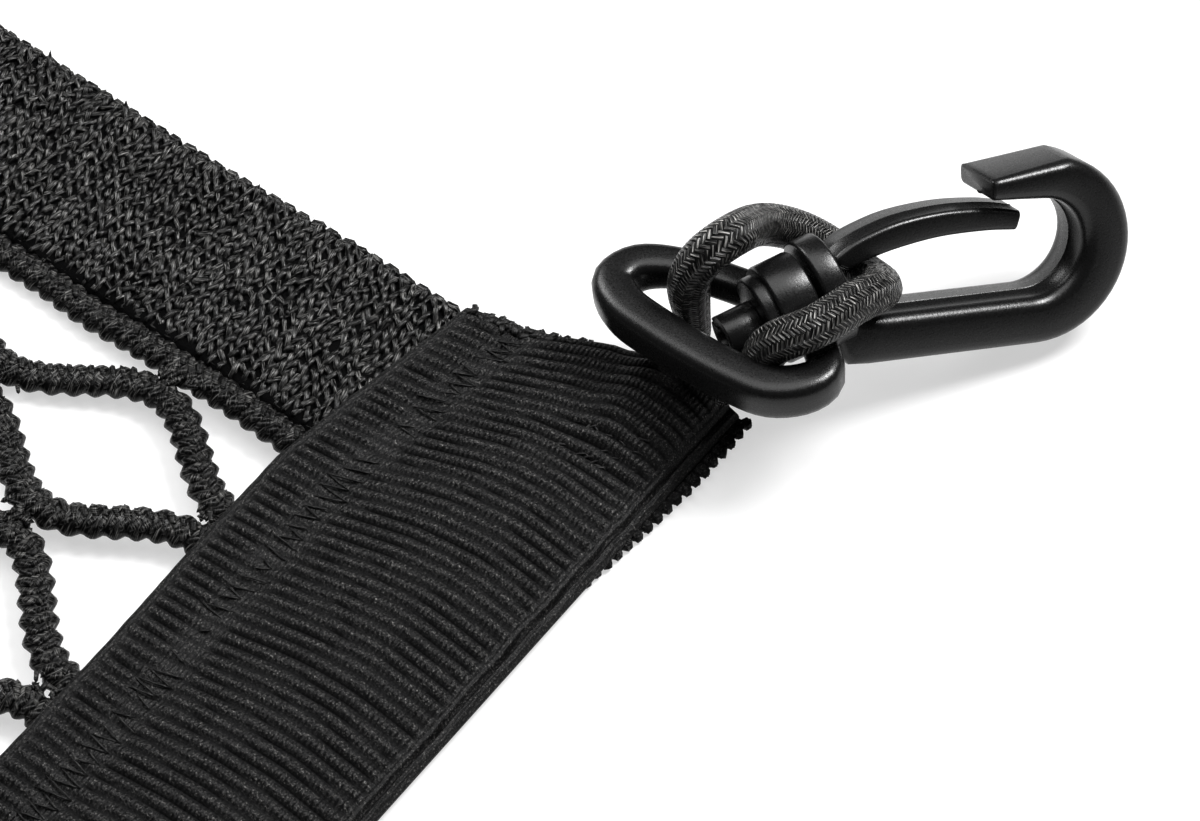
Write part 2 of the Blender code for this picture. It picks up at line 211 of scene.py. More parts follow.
def loftByExtrude(name, rings):
    # a filled circle, extruded once for each further section and set to its outline
    points = len(rings[0])
    deselectAll()
    bpy.ops.mesh.primitive_circle_add(vertices=points, radius=0.004, fill_type="NGON")
    obj = bpy.context.active_object
    obj.name = obj.data.name = name
    for vert, place in zip(obj.data.vertices, rings[0]):
        vert.co = place
    bpy.ops.object.mode_set(mode="EDIT")
    for before, ring in zip(rings, rings[1:]):
        bpy.ops.mesh.extrude_region_move()
        shape = bmesh.from_edit_mesh(obj.data)
        picked = [v for v in shape.verts if v.select]
        olds = np.array(before)
        for vert in picked:
            nearest = int(np.argmin(((olds - np.array(vert.co)) ** 2).sum(1)))
            vert.co = ring[nearest]
        bmesh.update_edit_mesh(obj.data)
    bpy.ops.mesh.select_all(action="SELECT")
    bpy.ops.mesh.normals_make_consistent(inside=False)
    bpy.ops.object.mode_set(mode="OBJECT")
    return obj


def addModifier(obj, kind, **values):
    deselectAll()
    obj.select_set(True)
    bpy.context.view_layer.objects.active = obj
    bpy.ops.object.modifier_add(type=kind)
    modifier = obj.modifiers[-1]
    for key, value in values.items():
        setattr(modifier, key, value)
    bpy.ops.object.modifier_apply(modifier=modifier.name)


def joinAll(main, others):
    deselectAll()
    for obj in (main, *others):
        obj.select_set(True)
    bpy.context.view_layer.objects.active = main
    bpy.ops.object.join()
    return main


def smoothByAngle(obj, degrees):
    deselectAll()
    obj.select_set(True)
    bpy.context.view_layer.objects.active = obj
    bpy.ops.object.shade_smooth_by_angle(angle=math.radians(degrees))


def settle(obj, matrix):
    # the place goes into the mesh, and the object stays at the origin
    obj.data.transform(matrix @ obj.matrix_basis)
    obj.matrix_basis = Matrix.Identity(4)


def mirroredCopies(obj, base):
    # the first corner's piece, then one copy with its own mesh at each other corner
    made = []
    for number, (sx, sy) in enumerate(corners, start=1):
        piece = obj
        if number > 1:
            piece = obj.copy()
            piece.data = obj.data.copy()
            bpy.context.scene.collection.objects.link(piece)
            piece.data.transform(Matrix.Diagonal((sx, sy, 1, 1)))
            if sx * sy < 0:
                piece.data.flip_normals()
        piece.name = piece.data.name = f"{base}_{number}"
        made.append(piece)
    return made


# camera, floor and light
view = {
    "azimuth": 37.49, "elevation": 55.3, "distance": 0.4094, "lens": 85.0,
    "target": (0.20474, 0.11912, 0.0),
}
light = {
    "world": 0.06, "floorShade": 0.35, "floorGlow": 0.62, "gamma": 0.84,
    "key": {"from": (0.22, 0.50, 0.84), "distance": 0.95, "size": 0.38, "power": 12.0},
    "top": {"from": (-0.25, 0.05, 1.0), "distance": 1.30, "size": 1.20, "power": 11.0},
    "rim": {"from": (-1.10, 0.15, 0.75), "distance": 0.95, "size": 0.45, "power": 4.0},
}


def makeCamera():
    az, el = math.radians(view["azimuth"]), math.radians(view["elevation"])
    back = Vector((math.sin(az) * math.cos(el), -math.cos(az) * math.cos(el), math.sin(el)))
    camera = bpy.data.objects.new("camera", bpy.data.cameras.new("camera"))
    camera.data.lens = view["lens"]
    camera.data.clip_start = 0.01
    camera.rotation_mode = "QUATERNION"
    camera.location = Vector(view["target"]) + back * view["distance"]
    camera.rotation_quaternion = (-back).to_track_quat("-Z", "Y")
    bpy.context.scene.collection.objects.link(camera)
    bpy.context.scene.camera = camera


def makeStudio():
    deselectAll()
    bpy.ops.mesh.primitive_plane_add(size=6.0, location=(0, 0, -0.0001))
    floor = bpy.context.active_object
    floor.name = floor.data.name = "floor"
    paper = bpy.data.materials.new("pale_paper")
    paper.use_nodes = True
    shader = paper.node_tree.nodes["Principled BSDF"]
    shade = light["floorShade"]
    shader.inputs["Base Color"].default_value = (shade, shade, shade, 1)
    shader.inputs["Roughness"].default_value = 0.9
    shader.inputs["Specular IOR Level"].default_value = 0.1
    shader.inputs["Emission Color"].default_value = (1, 1, 1, 1)
    shader.inputs["Emission Strength"].default_value = light["floorGlow"]
    floor.data.materials.append(paper)
    world = bpy.data.worlds.new("studio")
    world.use_nodes = True
    world.node_tree.nodes["Background"].inputs["Color"].default_value = (1, 1, 1, 1)
    world.node_tree.nodes["Background"].inputs["Strength"].default_value = light["world"]
    bpy.context.scene.world = world
    bpy.context.scene.view_settings.view_transform = "Standard"
    bpy.context.scene.view_settings.gamma = light["gamma"]
    target = Vector(view["target"])
    for name in ("key", "top", "rim"):
        spec = light[name]
        lamp = bpy.data.objects.new(name, bpy.data.lights.new(name, "AREA"))
        lamp.data.shape = "DISK"
        lamp.data.size = spec["size"]
        lamp.data.energy = spec["power"]
        way = Vector(spec["from"]).normalized()
        lamp.location = target + way * spec["distance"]
        lamp.rotation_mode = "QUATERNION"
        lamp.rotation_quaternion = way.to_track_quat("Z", "Y")
        bpy.context.scene.collection.objects.link(lamp)


makeCamera()
makeStudio()
print("camera, floor and light made")


# finishes
def newGroup(name, inputs, outputs):
    tree = bpy.data.node_groups.new(name, "ShaderNodeTree")
    for label, kind, value in inputs:
        socket = tree.interface.new_socket(name=label, in_out="INPUT", socket_type=kind)
        if value is not None:
            socket.default_value = value
    for label, kind in outputs:
        tree.interface.new_socket(name=label, in_out="OUTPUT", socket_type=kind)
    return tree, tree.nodes.new("NodeGroupInput"), tree.nodes.new("NodeGroupOutput")


def put(tree, kind, values=None, **fields):
    made = tree.nodes.new(kind)
    for key, value in fields.items():
        setattr(made, key, value)
    for key, value in (values or {}).items():
        if isinstance(value, bpy.types.NodeSocket):
            tree.links.new(value, made.inputs[key])
        else:
            made.inputs[key].default_value = value
    return made


def calc(tree, operation, a, b=None):
    values = {0: a}
    if b is not None:
        values[1] = b
    return put(tree, "ShaderNodeMath", values, operation=operation).outputs[0]


def yarnGroup():
    # fine filaments lying along one direction of a two-way coordinate, with a mask of their broken sheen that the
    # finishes paint into the colour as painted highlights
    tree, given, out = newGroup(
        "yarnFilaments",
        [("Across", "NodeSocketFloat", 0.0), ("Along", "NodeSocketFloat", 0.0),
         ("Fine", "NodeSocketFloat", 9000.0), ("Long", "NodeSocketFloat", 700.0)],
        [("Height", "NodeSocketFloat"), ("Glint", "NodeSocketFloat")])
    fine = calc(tree, "MULTIPLY", given.outputs["Across"], given.outputs["Fine"])
    run = calc(tree, "MULTIPLY", given.outputs["Along"], given.outputs["Long"])
    where = put(tree, "ShaderNodeCombineXYZ", {"X": fine, "Y": run})
    strands = put(tree, "ShaderNodeTexNoise", {"Vector": where.outputs[0], "Scale": 1.0, "Detail": 2.0,
                                               "Roughness": 0.6})
    glint = put(tree, "ShaderNodeMapRange", {"Value": strands.outputs[0], "From Min": 0.50,
                                             "From Max": 0.72})
    tree.links.new(strands.outputs[0], out.inputs["Height"])
    tree.links.new(glint.outputs["Result"], out.inputs["Glint"])
    return tree


def grainGroup():
    # fine grain on object coordinates: small pits with a slow change of level
    tree, given, out = newGroup(
        "fineGrain",
        [("Scale", "NodeSocketFloat", 3000.0), ("Slow", "NodeSocketFloat", 120.0)],
        [("Height", "NodeSocketFloat"), ("Patch", "NodeSocketFloat")])
    where = put(tree, "ShaderNodeTexCoord").outputs["Object"]
    grain = put(tree, "ShaderNodeTexNoise", {"Vector": where, "Scale": given.outputs["Scale"],
                                             "Detail": 3.0, "Roughness": 0.65})
    slow = put(tree, "ShaderNodeTexNoise", {"Vector": where, "Scale": given.outputs["Slow"], "Detail": 2.0})
    tree.links.new(grain.outputs[0], out.inputs["Height"])
    tree.links.new(slow.outputs[0], out.inputs["Patch"])
    return tree


def braidGroup():
    # two sets of yarns round a cord, each passing over two and under two of the other
    tree, given, out = newGroup(
        "braidPattern",
        [("Around", "NodeSocketFloat", 0.0), ("Along", "NodeSocketFloat", 0.0),
         ("Yarns", "NodeSocketFloat", 16.0), ("Lead", "NodeSocketFloat", 1000.0)],
        [("Height", "NodeSocketFloat"), ("Fibre", "NodeSocketFloat")])
    round_ = calc(tree, "MULTIPLY", given.outputs["Around"], given.outputs["Yarns"])
    run = calc(tree, "MULTIPLY", given.outputs["Along"], given.outputs["Lead"])
    a = calc(tree, "ADD", round_, run)
    b = calc(tree, "SUBTRACT", round_, run)
    crown = []
    for way in (a, b):
        part = calc(tree, "FRACT", way)
        crown.append(calc(tree, "SINE", calc(tree, "MULTIPLY", part, math.pi)))
    steps = calc(tree, "ADD", calc(tree, "FLOOR", a), calc(tree, "FLOOR", b))
    turn = calc(tree, "FLOORED_MODULO", steps, 4.0)
    over = calc(tree, "LESS_THAN", turn, 1.5)
    under = calc(tree, "SUBTRACT", 1.0, over)
    height = calc(tree, "ADD", calc(tree, "MULTIPLY", crown[0], over), calc(tree, "MULTIPLY", crown[1], under))
    fibreAt = calc(tree, "ADD", calc(tree, "MULTIPLY", a, over), calc(tree, "MULTIPLY", b, under))
    fibreWhere = put(tree, "ShaderNodeCombineXYZ", {"X": calc(tree, "MULTIPLY", fibreAt, 7.0),
                                                    "Y": calc(tree, "MULTIPLY", run, 0.6)})
    fibre = put(tree, "ShaderNodeTexNoise", {"Vector": fibreWhere.outputs[0], "Scale": 1.0, "Detail": 1.0})
    tree.links.new(height, out.inputs["Height"])
    tree.links.new(fibre.outputs[0], out.inputs["Fibre"])
    return tree


yarnFilaments, fineGrain, braidPattern = yarnGroup(), grainGroup(), braidGroup()


def startMaterial(name, roughness, specular):
    material = bpy.data.materials.new(name)
    material.use_nodes = True
    tree = material.node_tree
    shader = tree.nodes["Principled BSDF"]
    shader.inputs["Roughness"].default_value = roughness
    shader.inputs["Specular IOR Level"].default_value = specular
    return material, tree, shader


def useGroup(tree, group, values):
    return put(tree, "ShaderNodeGroup", values, node_tree=group).outputs


def colourMix(tree, factor, dark, pale):
    mix = put(tree, "ShaderNodeMix", data_type="RGBA")
    mix.inputs[6].default_value = (*dark, 1)
    mix.inputs[7].default_value = (*pale, 1)
    tree.links.new(factor, mix.inputs[0])
    return mix.outputs[2]


def crownShaded(tree, value):
    # painted shade: a value scaled by the crown, so it fades out in the grooves between ribs or stitches
    crown = put(tree, "ShaderNodeAttribute", attribute_name="crown").outputs["Fac"]
    return calc(tree, "MULTIPLY", value, crown)


def bumpInto(tree, shader, height, distance, before=None):
    bump = put(tree, "ShaderNodeBump", {"Height": height, "Strength": 1.0, "Distance": distance})
    if before:
        tree.links.new(before, bump.inputs["Normal"])
    tree.links.new(bump.outputs["Normal"], shader.inputs["Normal"])
    return bump.outputs["Normal"]


def uvParts(tree):
    uv = put(tree, "ShaderNodeUVMap", uv_map="along")
    parts = put(tree, "ShaderNodeSeparateXYZ", {"Vector": uv.outputs[0]})
    return parts.outputs["X"], parts.outputs["Y"]


# pale is the colour of the painted highlights along the yarn
knitLook = {"dark": (0.0025, 0.0025, 0.0027), "pale": (0.330, 0.325, 0.315), "roughness": 0.30,
            "fine": 8000.0, "long": 500.0, "bump": 0.00006, "grooveBump": 0.00003}


def groundMaterial():
    # the deep black between the stitches
    material, tree, shader = startMaterial("black_knit_ground", 0.9, specular=0.05)
    grain = useGroup(tree, fineGrain, {"Scale": 2200.0, "Slow": 200.0})
    tree.links.new(colourMix(tree, grain["Patch"], (0.0020, 0.0020, 0.0022), (0.0045, 0.0045, 0.0046)),
                   shader.inputs["Base Color"])
    bumpInto(tree, shader, grain["Height"], 0.00020)
    return material


def knitMaterial():
    material, tree, shader = startMaterial("black_knit_yarn", knitLook["roughness"], specular=0.30)
    across, along = uvParts(tree)
    yarn = useGroup(tree, yarnFilaments, {"Across": across, "Along": along, "Fine": knitLook["fine"],
                                          "Long": knitLook["long"]})
    grain = useGroup(tree, fineGrain, {"Scale": 900.0, "Slow": 260.0})
    # painted highlights along the yarns, dimmed by the crown to painted shade at the tucked stitch ends
    tree.links.new(colourMix(tree, crownShaded(tree, yarn["Glint"]), knitLook["dark"], knitLook["pale"]),
                   shader.inputs["Base Color"])
    slow = bumpInto(tree, shader, grain["Height"], knitLook["grooveBump"])
    bumpInto(tree, shader, yarn["Height"], knitLook["bump"], slow)
    return material


# pale is the colour of the painted highlights along the wrapping yarns
strandLook = {"dark": (0.0020, 0.0020, 0.0022), "pale": (0.240, 0.236, 0.228), "roughness": 0.28,
              "fine": 5200.0, "long": 380.0, "bump": 0.00016}


def strandMaterial():
    # the wrapping yarns lie across the strand
    material, tree, shader = startMaterial("black_strand_yarn", strandLook["roughness"], specular=0.26)
    across, along = uvParts(tree)
    slant = calc(tree, "ADD", along, calc(tree, "MULTIPLY", across, 0.35))
    yarn = useGroup(tree, yarnFilaments, {"Across": slant, "Along": across, "Fine": strandLook["fine"],
                                          "Long": strandLook["long"]})
    grain = useGroup(tree, fineGrain, {"Scale": 1200.0, "Slow": 300.0})
    # painted highlights along the yarns, with painted shade between the beads and at the tucked wrap ends
    tree.links.new(colourMix(tree, crownShaded(tree, yarn["Glint"]), strandLook["dark"], strandLook["pale"]),
                   shader.inputs["Base Color"])
    slow = bumpInto(tree, shader, grain["Patch"], 0.0002)
    bumpInto(tree, shader, yarn["Height"], strandLook["bump"], slow)
    return material


# pale is the colour of the painted highlights on the fibres
webbingLook = {"dark": (0.0022, 0.0022, 0.0025), "pale": (0.230, 0.225, 0.217), "roughness": (0.44, 0.95),
               "beadPitch": 0.00078, "bump": 0.00014, "fuzz": 0.00012}


def webbingMaterial():
    # each rib is a soft twisted yarn: short slanting fibres and a fuzzy grain
    material, tree, shader = startMaterial("black_ribbed_elastic", 0.5, specular=0.30)
    across, along = uvParts(tree)
    slant = calc(tree, "ADD", across, calc(tree, "MULTIPLY", along, 0.9))
    yarn = useGroup(tree, yarnFilaments, {"Across": slant, "Along": along, "Fine": 2600.0, "Long": 1500.0})
    grain = useGroup(tree, fineGrain, {"Scale": 3600.0, "Slow": 150.0})
    # painted highlights: light specks on the fuzz and glints along the fibres, darkened in the grooves between ribs
    # by the crown as painted shade
    speck = put(tree, "ShaderNodeMapRange", {"Value": grain["Height"], "From Min": 0.52, "From Max": 0.70})
    crown = put(tree, "ShaderNodeAttribute", attribute_name="crown").outputs["Fac"]
    groove = put(tree, "ShaderNodeMapRange", {"Value": crown, "From Min": 0.25, "From Max": 0.85})
    paintedLight = calc(tree, "MULTIPLY", speck.outputs["Result"], calc(tree, "ADD", yarn["Glint"], 0.35))
    paintedLight = calc(tree, "MULTIPLY", paintedLight, groove.outputs["Result"])
    tree.links.new(colourMix(tree, paintedLight, webbingLook["dark"], webbingLook["pale"]),
                   shader.inputs["Base Color"])
    low, high = webbingLook["roughness"]
    rough = put(tree, "ShaderNodeMapRange", {"Value": crown, "From Min": 0.2, "From Max": 0.8,
                                             "To Min": high, "To Max": low})
    tree.links.new(rough.outputs["Result"], shader.inputs["Roughness"])
    # the crossing threads part each rib into small beads
    wander = calc(tree, "MULTIPLY", grain["Patch"], 9.0)
    beat = calc(tree, "ADD", calc(tree, "MULTIPLY", across, 2 * math.pi / webbingLook["beadPitch"]), wander)
    bead = bumpInto(tree, shader, calc(tree, "SINE", beat), 0.00007)
    first = bumpInto(tree, shader, yarn["Height"], webbingLook["bump"], bead)
    bumpInto(tree, shader, grain["Height"], webbingLook["fuzz"], first)
    return material


# pale is the colour of the painted highlights on the yarn crowns
braidLook = {"dark": (0.0022, 0.0022, 0.0024), "pale": (0.640, 0.628, 0.606), "roughness": 0.30,
             "yarns": 16.0, "lead": 1780.0, "bump": 0.00044, "fibreBump": 0.00008}


def braidMaterial():
    material, tree, shader = startMaterial("black_braided_jacket", braidLook["roughness"], specular=0.40)
    across, along = uvParts(tree)
    braid = useGroup(tree, braidPattern, {"Around": across, "Along": along, "Yarns": braidLook["yarns"],
                                          "Lead": braidLook["lead"]})
    # painted highlight: only the crowns of the yarns and their brightest fibres are painted pale, and the valleys
    # between the yarns stay dark as painted shade
    streak = put(tree, "ShaderNodeMapRange", {"Value": braid["Fibre"], "From Min": 0.48, "From Max": 0.70})
    pale = calc(tree, "MULTIPLY", calc(tree, "POWER", braid["Height"], 3.0), streak.outputs["Result"])
    tree.links.new(colourMix(tree, pale, braidLook["dark"], braidLook["pale"]), shader.inputs["Base Color"])
    first = bumpInto(tree, shader, braid["Height"], braidLook["bump"])
    bumpInto(tree, shader, braid["Fibre"], braidLook["fibreBump"], first)
    return material


plasticLook = {"dark": (0.0055, 0.0055, 0.0058), "pale": (0.010, 0.010, 0.010), "roughness": (0.24, 0.36),
               "grain": 3400.0, "bump": 0.000022}


def plasticMaterial():
    material, tree, shader = startMaterial("black_moulded_plastic", 0.3, specular=0.50)
    grain = useGroup(tree, fineGrain, {"Scale": plasticLook["grain"], "Slow": 90.0})
    tree.links.new(colourMix(tree, grain["Patch"], plasticLook["dark"], plasticLook["pale"]),
                   shader.inputs["Base Color"])
    low, high = plasticLook["roughness"]
    rough = put(tree, "ShaderNodeMapRange", {"Value": grain["Height"], "From Min": 0.35, "From Max": 0.65,
                                             "To Min": low, "To Max": high})
    tree.links.new(rough.outputs["Result"], shader.inputs["Roughness"])
    bumpInto(tree, shader, grain["Height"], plasticLook["bump"])
    return material


def threadMaterial():
    material, tree, shader = startMaterial("black_sewing_thread", 0.45, specular=0.35)
    across, along = uvParts(tree)
    yarn = useGroup(tree, yarnFilaments, {"Across": across, "Along": along, "Fine": 9000.0, "Long": 900.0})
    # painted highlights along the thread's fibres
    tree.links.new(colourMix(tree, yarn["Glint"], (0.003, 0.003, 0.0032), (0.07, 0.069, 0.067)),
                   shader.inputs["Base Color"])
    bumpInto(tree, shader, yarn["Height"], 0.00006)
    return material


knitYarn, strandYarn, ribbedYarn = knitMaterial(), strandMaterial(), webbingMaterial()
groundYarn = groundMaterial()
braidYarn, mouldedPlastic, sewingThread = braidMaterial(), plasticMaterial(), threadMaterial()
print("finishes made")


# elastic cord loops
hookPlace = {"root": (0.22892, 0.14106, 0.01000), "heading": 55.3, "droop": 13.0, "lean": 31.0}


def hookMatrix():
    turn, droop, lean = (math.radians(hookPlace[k]) for k in ("heading", "droop", "lean"))
    ahead = Vector((math.cos(turn), math.sin(turn), 0))
    along = ahead * math.cos(droop) - Vector((0, 0, math.sin(droop)))
    side = Vector((ahead.y, -ahead.x, 0))
    face = side * math.cos(lean) + side.cross(along) * math.sin(lean)
    turned = Matrix((along, face.cross(along), face)).transposed().to_4x4()
    return Matrix.Translation(hookPlace["root"]) @ turned


hookFrame = hookMatrix()
cordLoop = {
    "diameter": 0.006, "shownRadius": (0.00190, 0.00262, 0.00306), "ringStep": 0.00032,
    "points": 24, "relax": 12, "slimFrom": 0.008, "fullFrom": 0.020, "taper": 0.009, "knob": 0.00006,
    # from inside the webbing's end up through the ring
    "legUp": ((0.2083, 0.1190, 0.0035), (0.2096, 0.1250, 0.0037), (0.2108, 0.1310, 0.0047),
              (0.2110, 0.1325, 0.0078), (0.2109, 0.1326, 0.0120), (0.2107, 0.1324, 0.0170),
              (0.2106, 0.1317, 0.0218), (0.2113, 0.1326, 0.0264), (0.2136, 0.1362, 0.0296)),
    # round the hook, in the hook's own frame
    "roundHook": ((-0.0075, 0.0172, -0.0094), (-0.0022, 0.0160, -0.0100), (0.0026, 0.0137, -0.0081),
                  (0.0052, 0.0113, -0.0042), (0.0058, 0.0108, 0.0006), (0.0048, 0.0114, 0.0052),
                  (0.0016, 0.0122, 0.0092), (-0.0036, 0.0119, 0.0114), (-0.0087, 0.0093, 0.0126)),
    "legDown": ((0.2258, 0.1300, 0.0226), (0.2250, 0.1301, 0.0172), (0.2230, 0.1308, 0.0120),
                (0.2212, 0.1324, 0.0076), (0.2192, 0.1312, 0.0047), (0.2165, 0.1255, 0.0037),
                (0.2150, 0.1195, 0.0035)),
}


def makeCords():
    spec = cordLoop
    middle = [tuple(hookFrame @ Vector(p)) for p in spec["roundHook"]]
    path = smoothRoute(list(spec["legUp"]) + middle + list(spec["legDown"]), spec["ringStep"])
    path = relaxPath(path, spec["relax"])
    _, side, up = turnWithPath(path, (1, 0, 0))
    run = np.concatenate([[0], np.cumsum(np.linalg.norm(np.diff(path, axis=0), axis=1))])
    turn = np.arange(spec["points"]) / spec["points"]
    # a slight knobble of the braid shows in outline
    yarns, lead = braidLook["yarns"] / 2, braidLook["lead"] / 2
    knob = np.cos(2 * np.pi * (turn[None] * yarns + run[:, None] * lead))
    knob = knob * np.cos(2 * np.pi * (turn[None] * yarns - run[:, None] * lead))
    # thinnest inside the webbing, fullest round the hook
    end, slim, full = spec["shownRadius"]
    reach = np.minimum(run, run[-1] - run)
    radius = end + (slim - end) * smoothStep((reach - spec["slimFrom"]) / spec["taper"])
    radius = radius + (full - slim) * smoothStep((reach - spec["fullFrom"]) / spec["taper"])
    radius = radius[:, None] + spec["knob"] * knob
    angle = 2 * np.pi * turn
    rings = path[:, None] + radius[..., None] * (
        np.cos(angle)[None, :, None] * side[:, None] + np.sin(angle)[None, :, None] * up[:, None])
    pile = emptyPile()
    addTube(pile, rings, run, turn)
    for number, (sx, sy) in enumerate(corners, start=1):
        piece = pilePiece(f"braided_loop_{number}", pile, (sx, sy))
        dress(piece, braidYarn)
        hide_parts(f"cord_loop_{number}")
    print("cord loops made, each", round(run[-1] * 1000, 1), "mm")


makeCords()


# knitted borders
netSize = {"strandWidth": 0.0055, "columnStep": 0.022, "columns": 16, "endX": 0.190, "edgeY": 0.119,
           "bandY": 0.0895, "lift": 0.0016, "liftFrom": 0.128, "liftTo": 0.166,
           "centreZ": 0.0018}


def netLift(x):
    start, end = netSize["liftFrom"], netSize["liftTo"]
    return netSize["lift"] * smoothStep((np.abs(x) - start) / (end - start))


border = {"across": 0.00205, "row": 0.00185, "leaf": (0.00096, 0.00310, 0.00100), "lean": (33.0, 10.0),
          "longShare": 0.09, "longGain": 1.45,
          "slabTop": 0.00275, "shownTo": 0.1815, "scallop": 0.0029, "bead": 0.0030}


def bandSlab(name, side):
    # the ground of the border, under its stitches
    pile = emptyPile()
    rows = np.linspace(-netSize["endX"], netSize["endX"], 191)
    top, bottom = border["slabTop"], 0.0002
    low, high = netSize["bandY"] - 0.0009, netSize["edgeY"] - 0.0005
    profile = [(low + 0.0008, bottom), (high - 0.0008, bottom), (high, bottom + 0.0009), (high, top - 0.0009),
               (high - 0.0009, top), ((low + high) / 2, top + 0.0002), (low + 0.0009, top), (low, top - 0.0008),
               (low, bottom + 0.0008)]
    rings = np.array([[(x, side * y, z + netLift(x) - (0.0004 if abs(x) > 0.178 else 0)) for y, z in profile]
                      for x in rows])
    if side < 0:
        rings = rings[:, ::-1]
    addTube(pile, rings[:, ::-1], rows, np.arange(len(profile)) * 0.004)
    return pilePiece(name, pile, angle=60)


def bandStitches(name, side, seed):
    rng = np.random.default_rng(seed)
    pile = emptyPile()
    spec = border
    xs = np.arange(-spec["shownTo"], spec["shownTo"], spec["across"])
    ys = np.arange(netSize["bandY"] + 0.0010, netSize["edgeY"] - 0.0011, spec["row"])
    places, headings, sizes, tilts = [], [], [], []
    leaf = np.array(spec["leaf"])
    for row, y in enumerate(ys):
        sway = 0.0003 * math.sin(row * 0.9)
        for x in xs:
            wander = noise.noise(Vector((x * 160, y * 160, seed)))
            for arm in (-1, 1):
                size = leaf * rng.uniform(0.82, 1.22, 3)
                if rng.random() < spec["longShare"]:
                    size[1] *= spec["longGain"]
                px = x + sway + arm * 0.26 * spec["across"] + rng.normal(0, 0.00009) + wander * 0.00025
                py = y + (0.30 * spec["row"] if arm > 0 else 0) + rng.normal(0, 0.00010)
                pz = spec["slabTop"] + 0.00012 + rng.normal(0, 0.00012) + wander * 0.00018
                edge = min(py - netSize["bandY"], netSize["edgeY"] - py)
                pz -= 0.0009 * (1 - min(1.0, edge / 0.0022)) ** 2
                places.append((px, side * py, pz + netLift(px)))
                lean = spec["lean"][0] if arm > 0 else spec["lean"][1]
                headings.append(side * arm * math.radians(lean + rng.normal(0, 11)) + wander * 0.5)
                sizes.append(size)
                tilts.append(rng.normal(0.10 * side, 0.22))
    # double loops along the outer edge, beads along the inner one
    for x in np.arange(-spec["shownTo"], spec["shownTo"], spec["scallop"]):
        for lift, inset, long in ((0.0023, 0.0007, 0.0029), (0.0012, 0.0004, 0.0030), (0.0026, 0.0016, 0.0026)):
            jig = rng.normal(0, 0.00012)
            places.append((x + jig, side * (netSize["edgeY"] - inset), lift + netLift(x)))
            headings.append(math.pi / 2 + rng.normal(0.12, 0.12))
            sizes.append(np.array((0.00125, long, 0.0012)) * rng.uniform(0.92, 1.08))
            tilts.append(rng.normal(0, 0.1))
    for x in np.arange(-spec["shownTo"], spec["shownTo"], spec["bead"]):
        places.append((x, side * (netSize["bandY"] + 0.0005), 0.0019 + netLift(x)))
        headings.append(math.pi / 2 + rng.normal(0, 0.08))
        sizes.append(np.array((0.0016, 0.0033, 0.0019)) * rng.uniform(0.92, 1.08))
        tilts.append(rng.normal(0, 0.06))
    addLeaves(pile, np.array(places), np.array(headings), np.array(sizes), np.array(tilts), rng)
    return pilePiece(name, pile)


def makeBands():
    for side, word, seed in ((1, "back", 11), (-1, "front", 12)):
        slab = dress(bandSlab(f"border_{word}", side), groundYarn)
        stitches = dress(bandStitches(f"border_stitches_{word}", side, seed), knitYarn)
        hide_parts("net")
    print("knitted borders made")


makeBands()


# beaded strands of the mesh
strand = {"pitch": 0.0031, "ringsPerBead": 6, "points": 14, "halfWidth": 0.00195, "bead": 0.00086,
          "halfHeight": 0.00150, "wrap": (0.00110, 0.00290, 0.00115),
          "wrapOut": 0.00085, "wrapLean": 0.55, "knotStitches": 18,
          "oddRows": (0.018, 0.054, 0.0840), "evenRows": (0.0, 0.036, 0.069)}


def strandLines():
    # each strand swings between a crossing on the even columns and one on the odd columns
    odd, even = strand["oddRows"], strand["evenRows"]
    half = netSize["strandWidth"] / 2
    lines = []
    for low, high, lowIsEven in ((even[0], odd[0], True), (odd[0], even[1], False), (even[1], odd[1], True),
                                 (odd[1], even[2], False), (even[2], odd[2], True)):
        lines.append((low + half, high - half, lowIsEven))
    return lines


def strandPath(low, high, lowIsEven, side):
    xs = np.linspace(-netSize["endX"] + 0.002, netSize["endX"] - 0.002, 1600)
    swing = (1 + np.cos(np.pi * xs / netSize["columnStep"])) / 2  # 1 on the even columns
    share = 1 - swing if lowIsEven else swing
    ys = low + (high - low) * share
    wobble = np.array([noise.noise(Vector((x * 70, low * 900, side * 3.0))) for x in xs])
    ys = ys + 0.0005 * wobble
    path = np.stack([xs, side * ys, netSize["centreZ"] + netLift(xs)], axis=1)
    run = np.concatenate([[0], np.cumsum(np.linalg.norm(np.diff(path, axis=0), axis=1))])
    step = strand["pitch"] / strand["ringsPerBead"]
    want = np.linspace(0, run[-1], int(run[-1] / step) + 1)
    return np.stack([np.interp(want, run, path[:, k]) for k in range(3)], axis=1), want


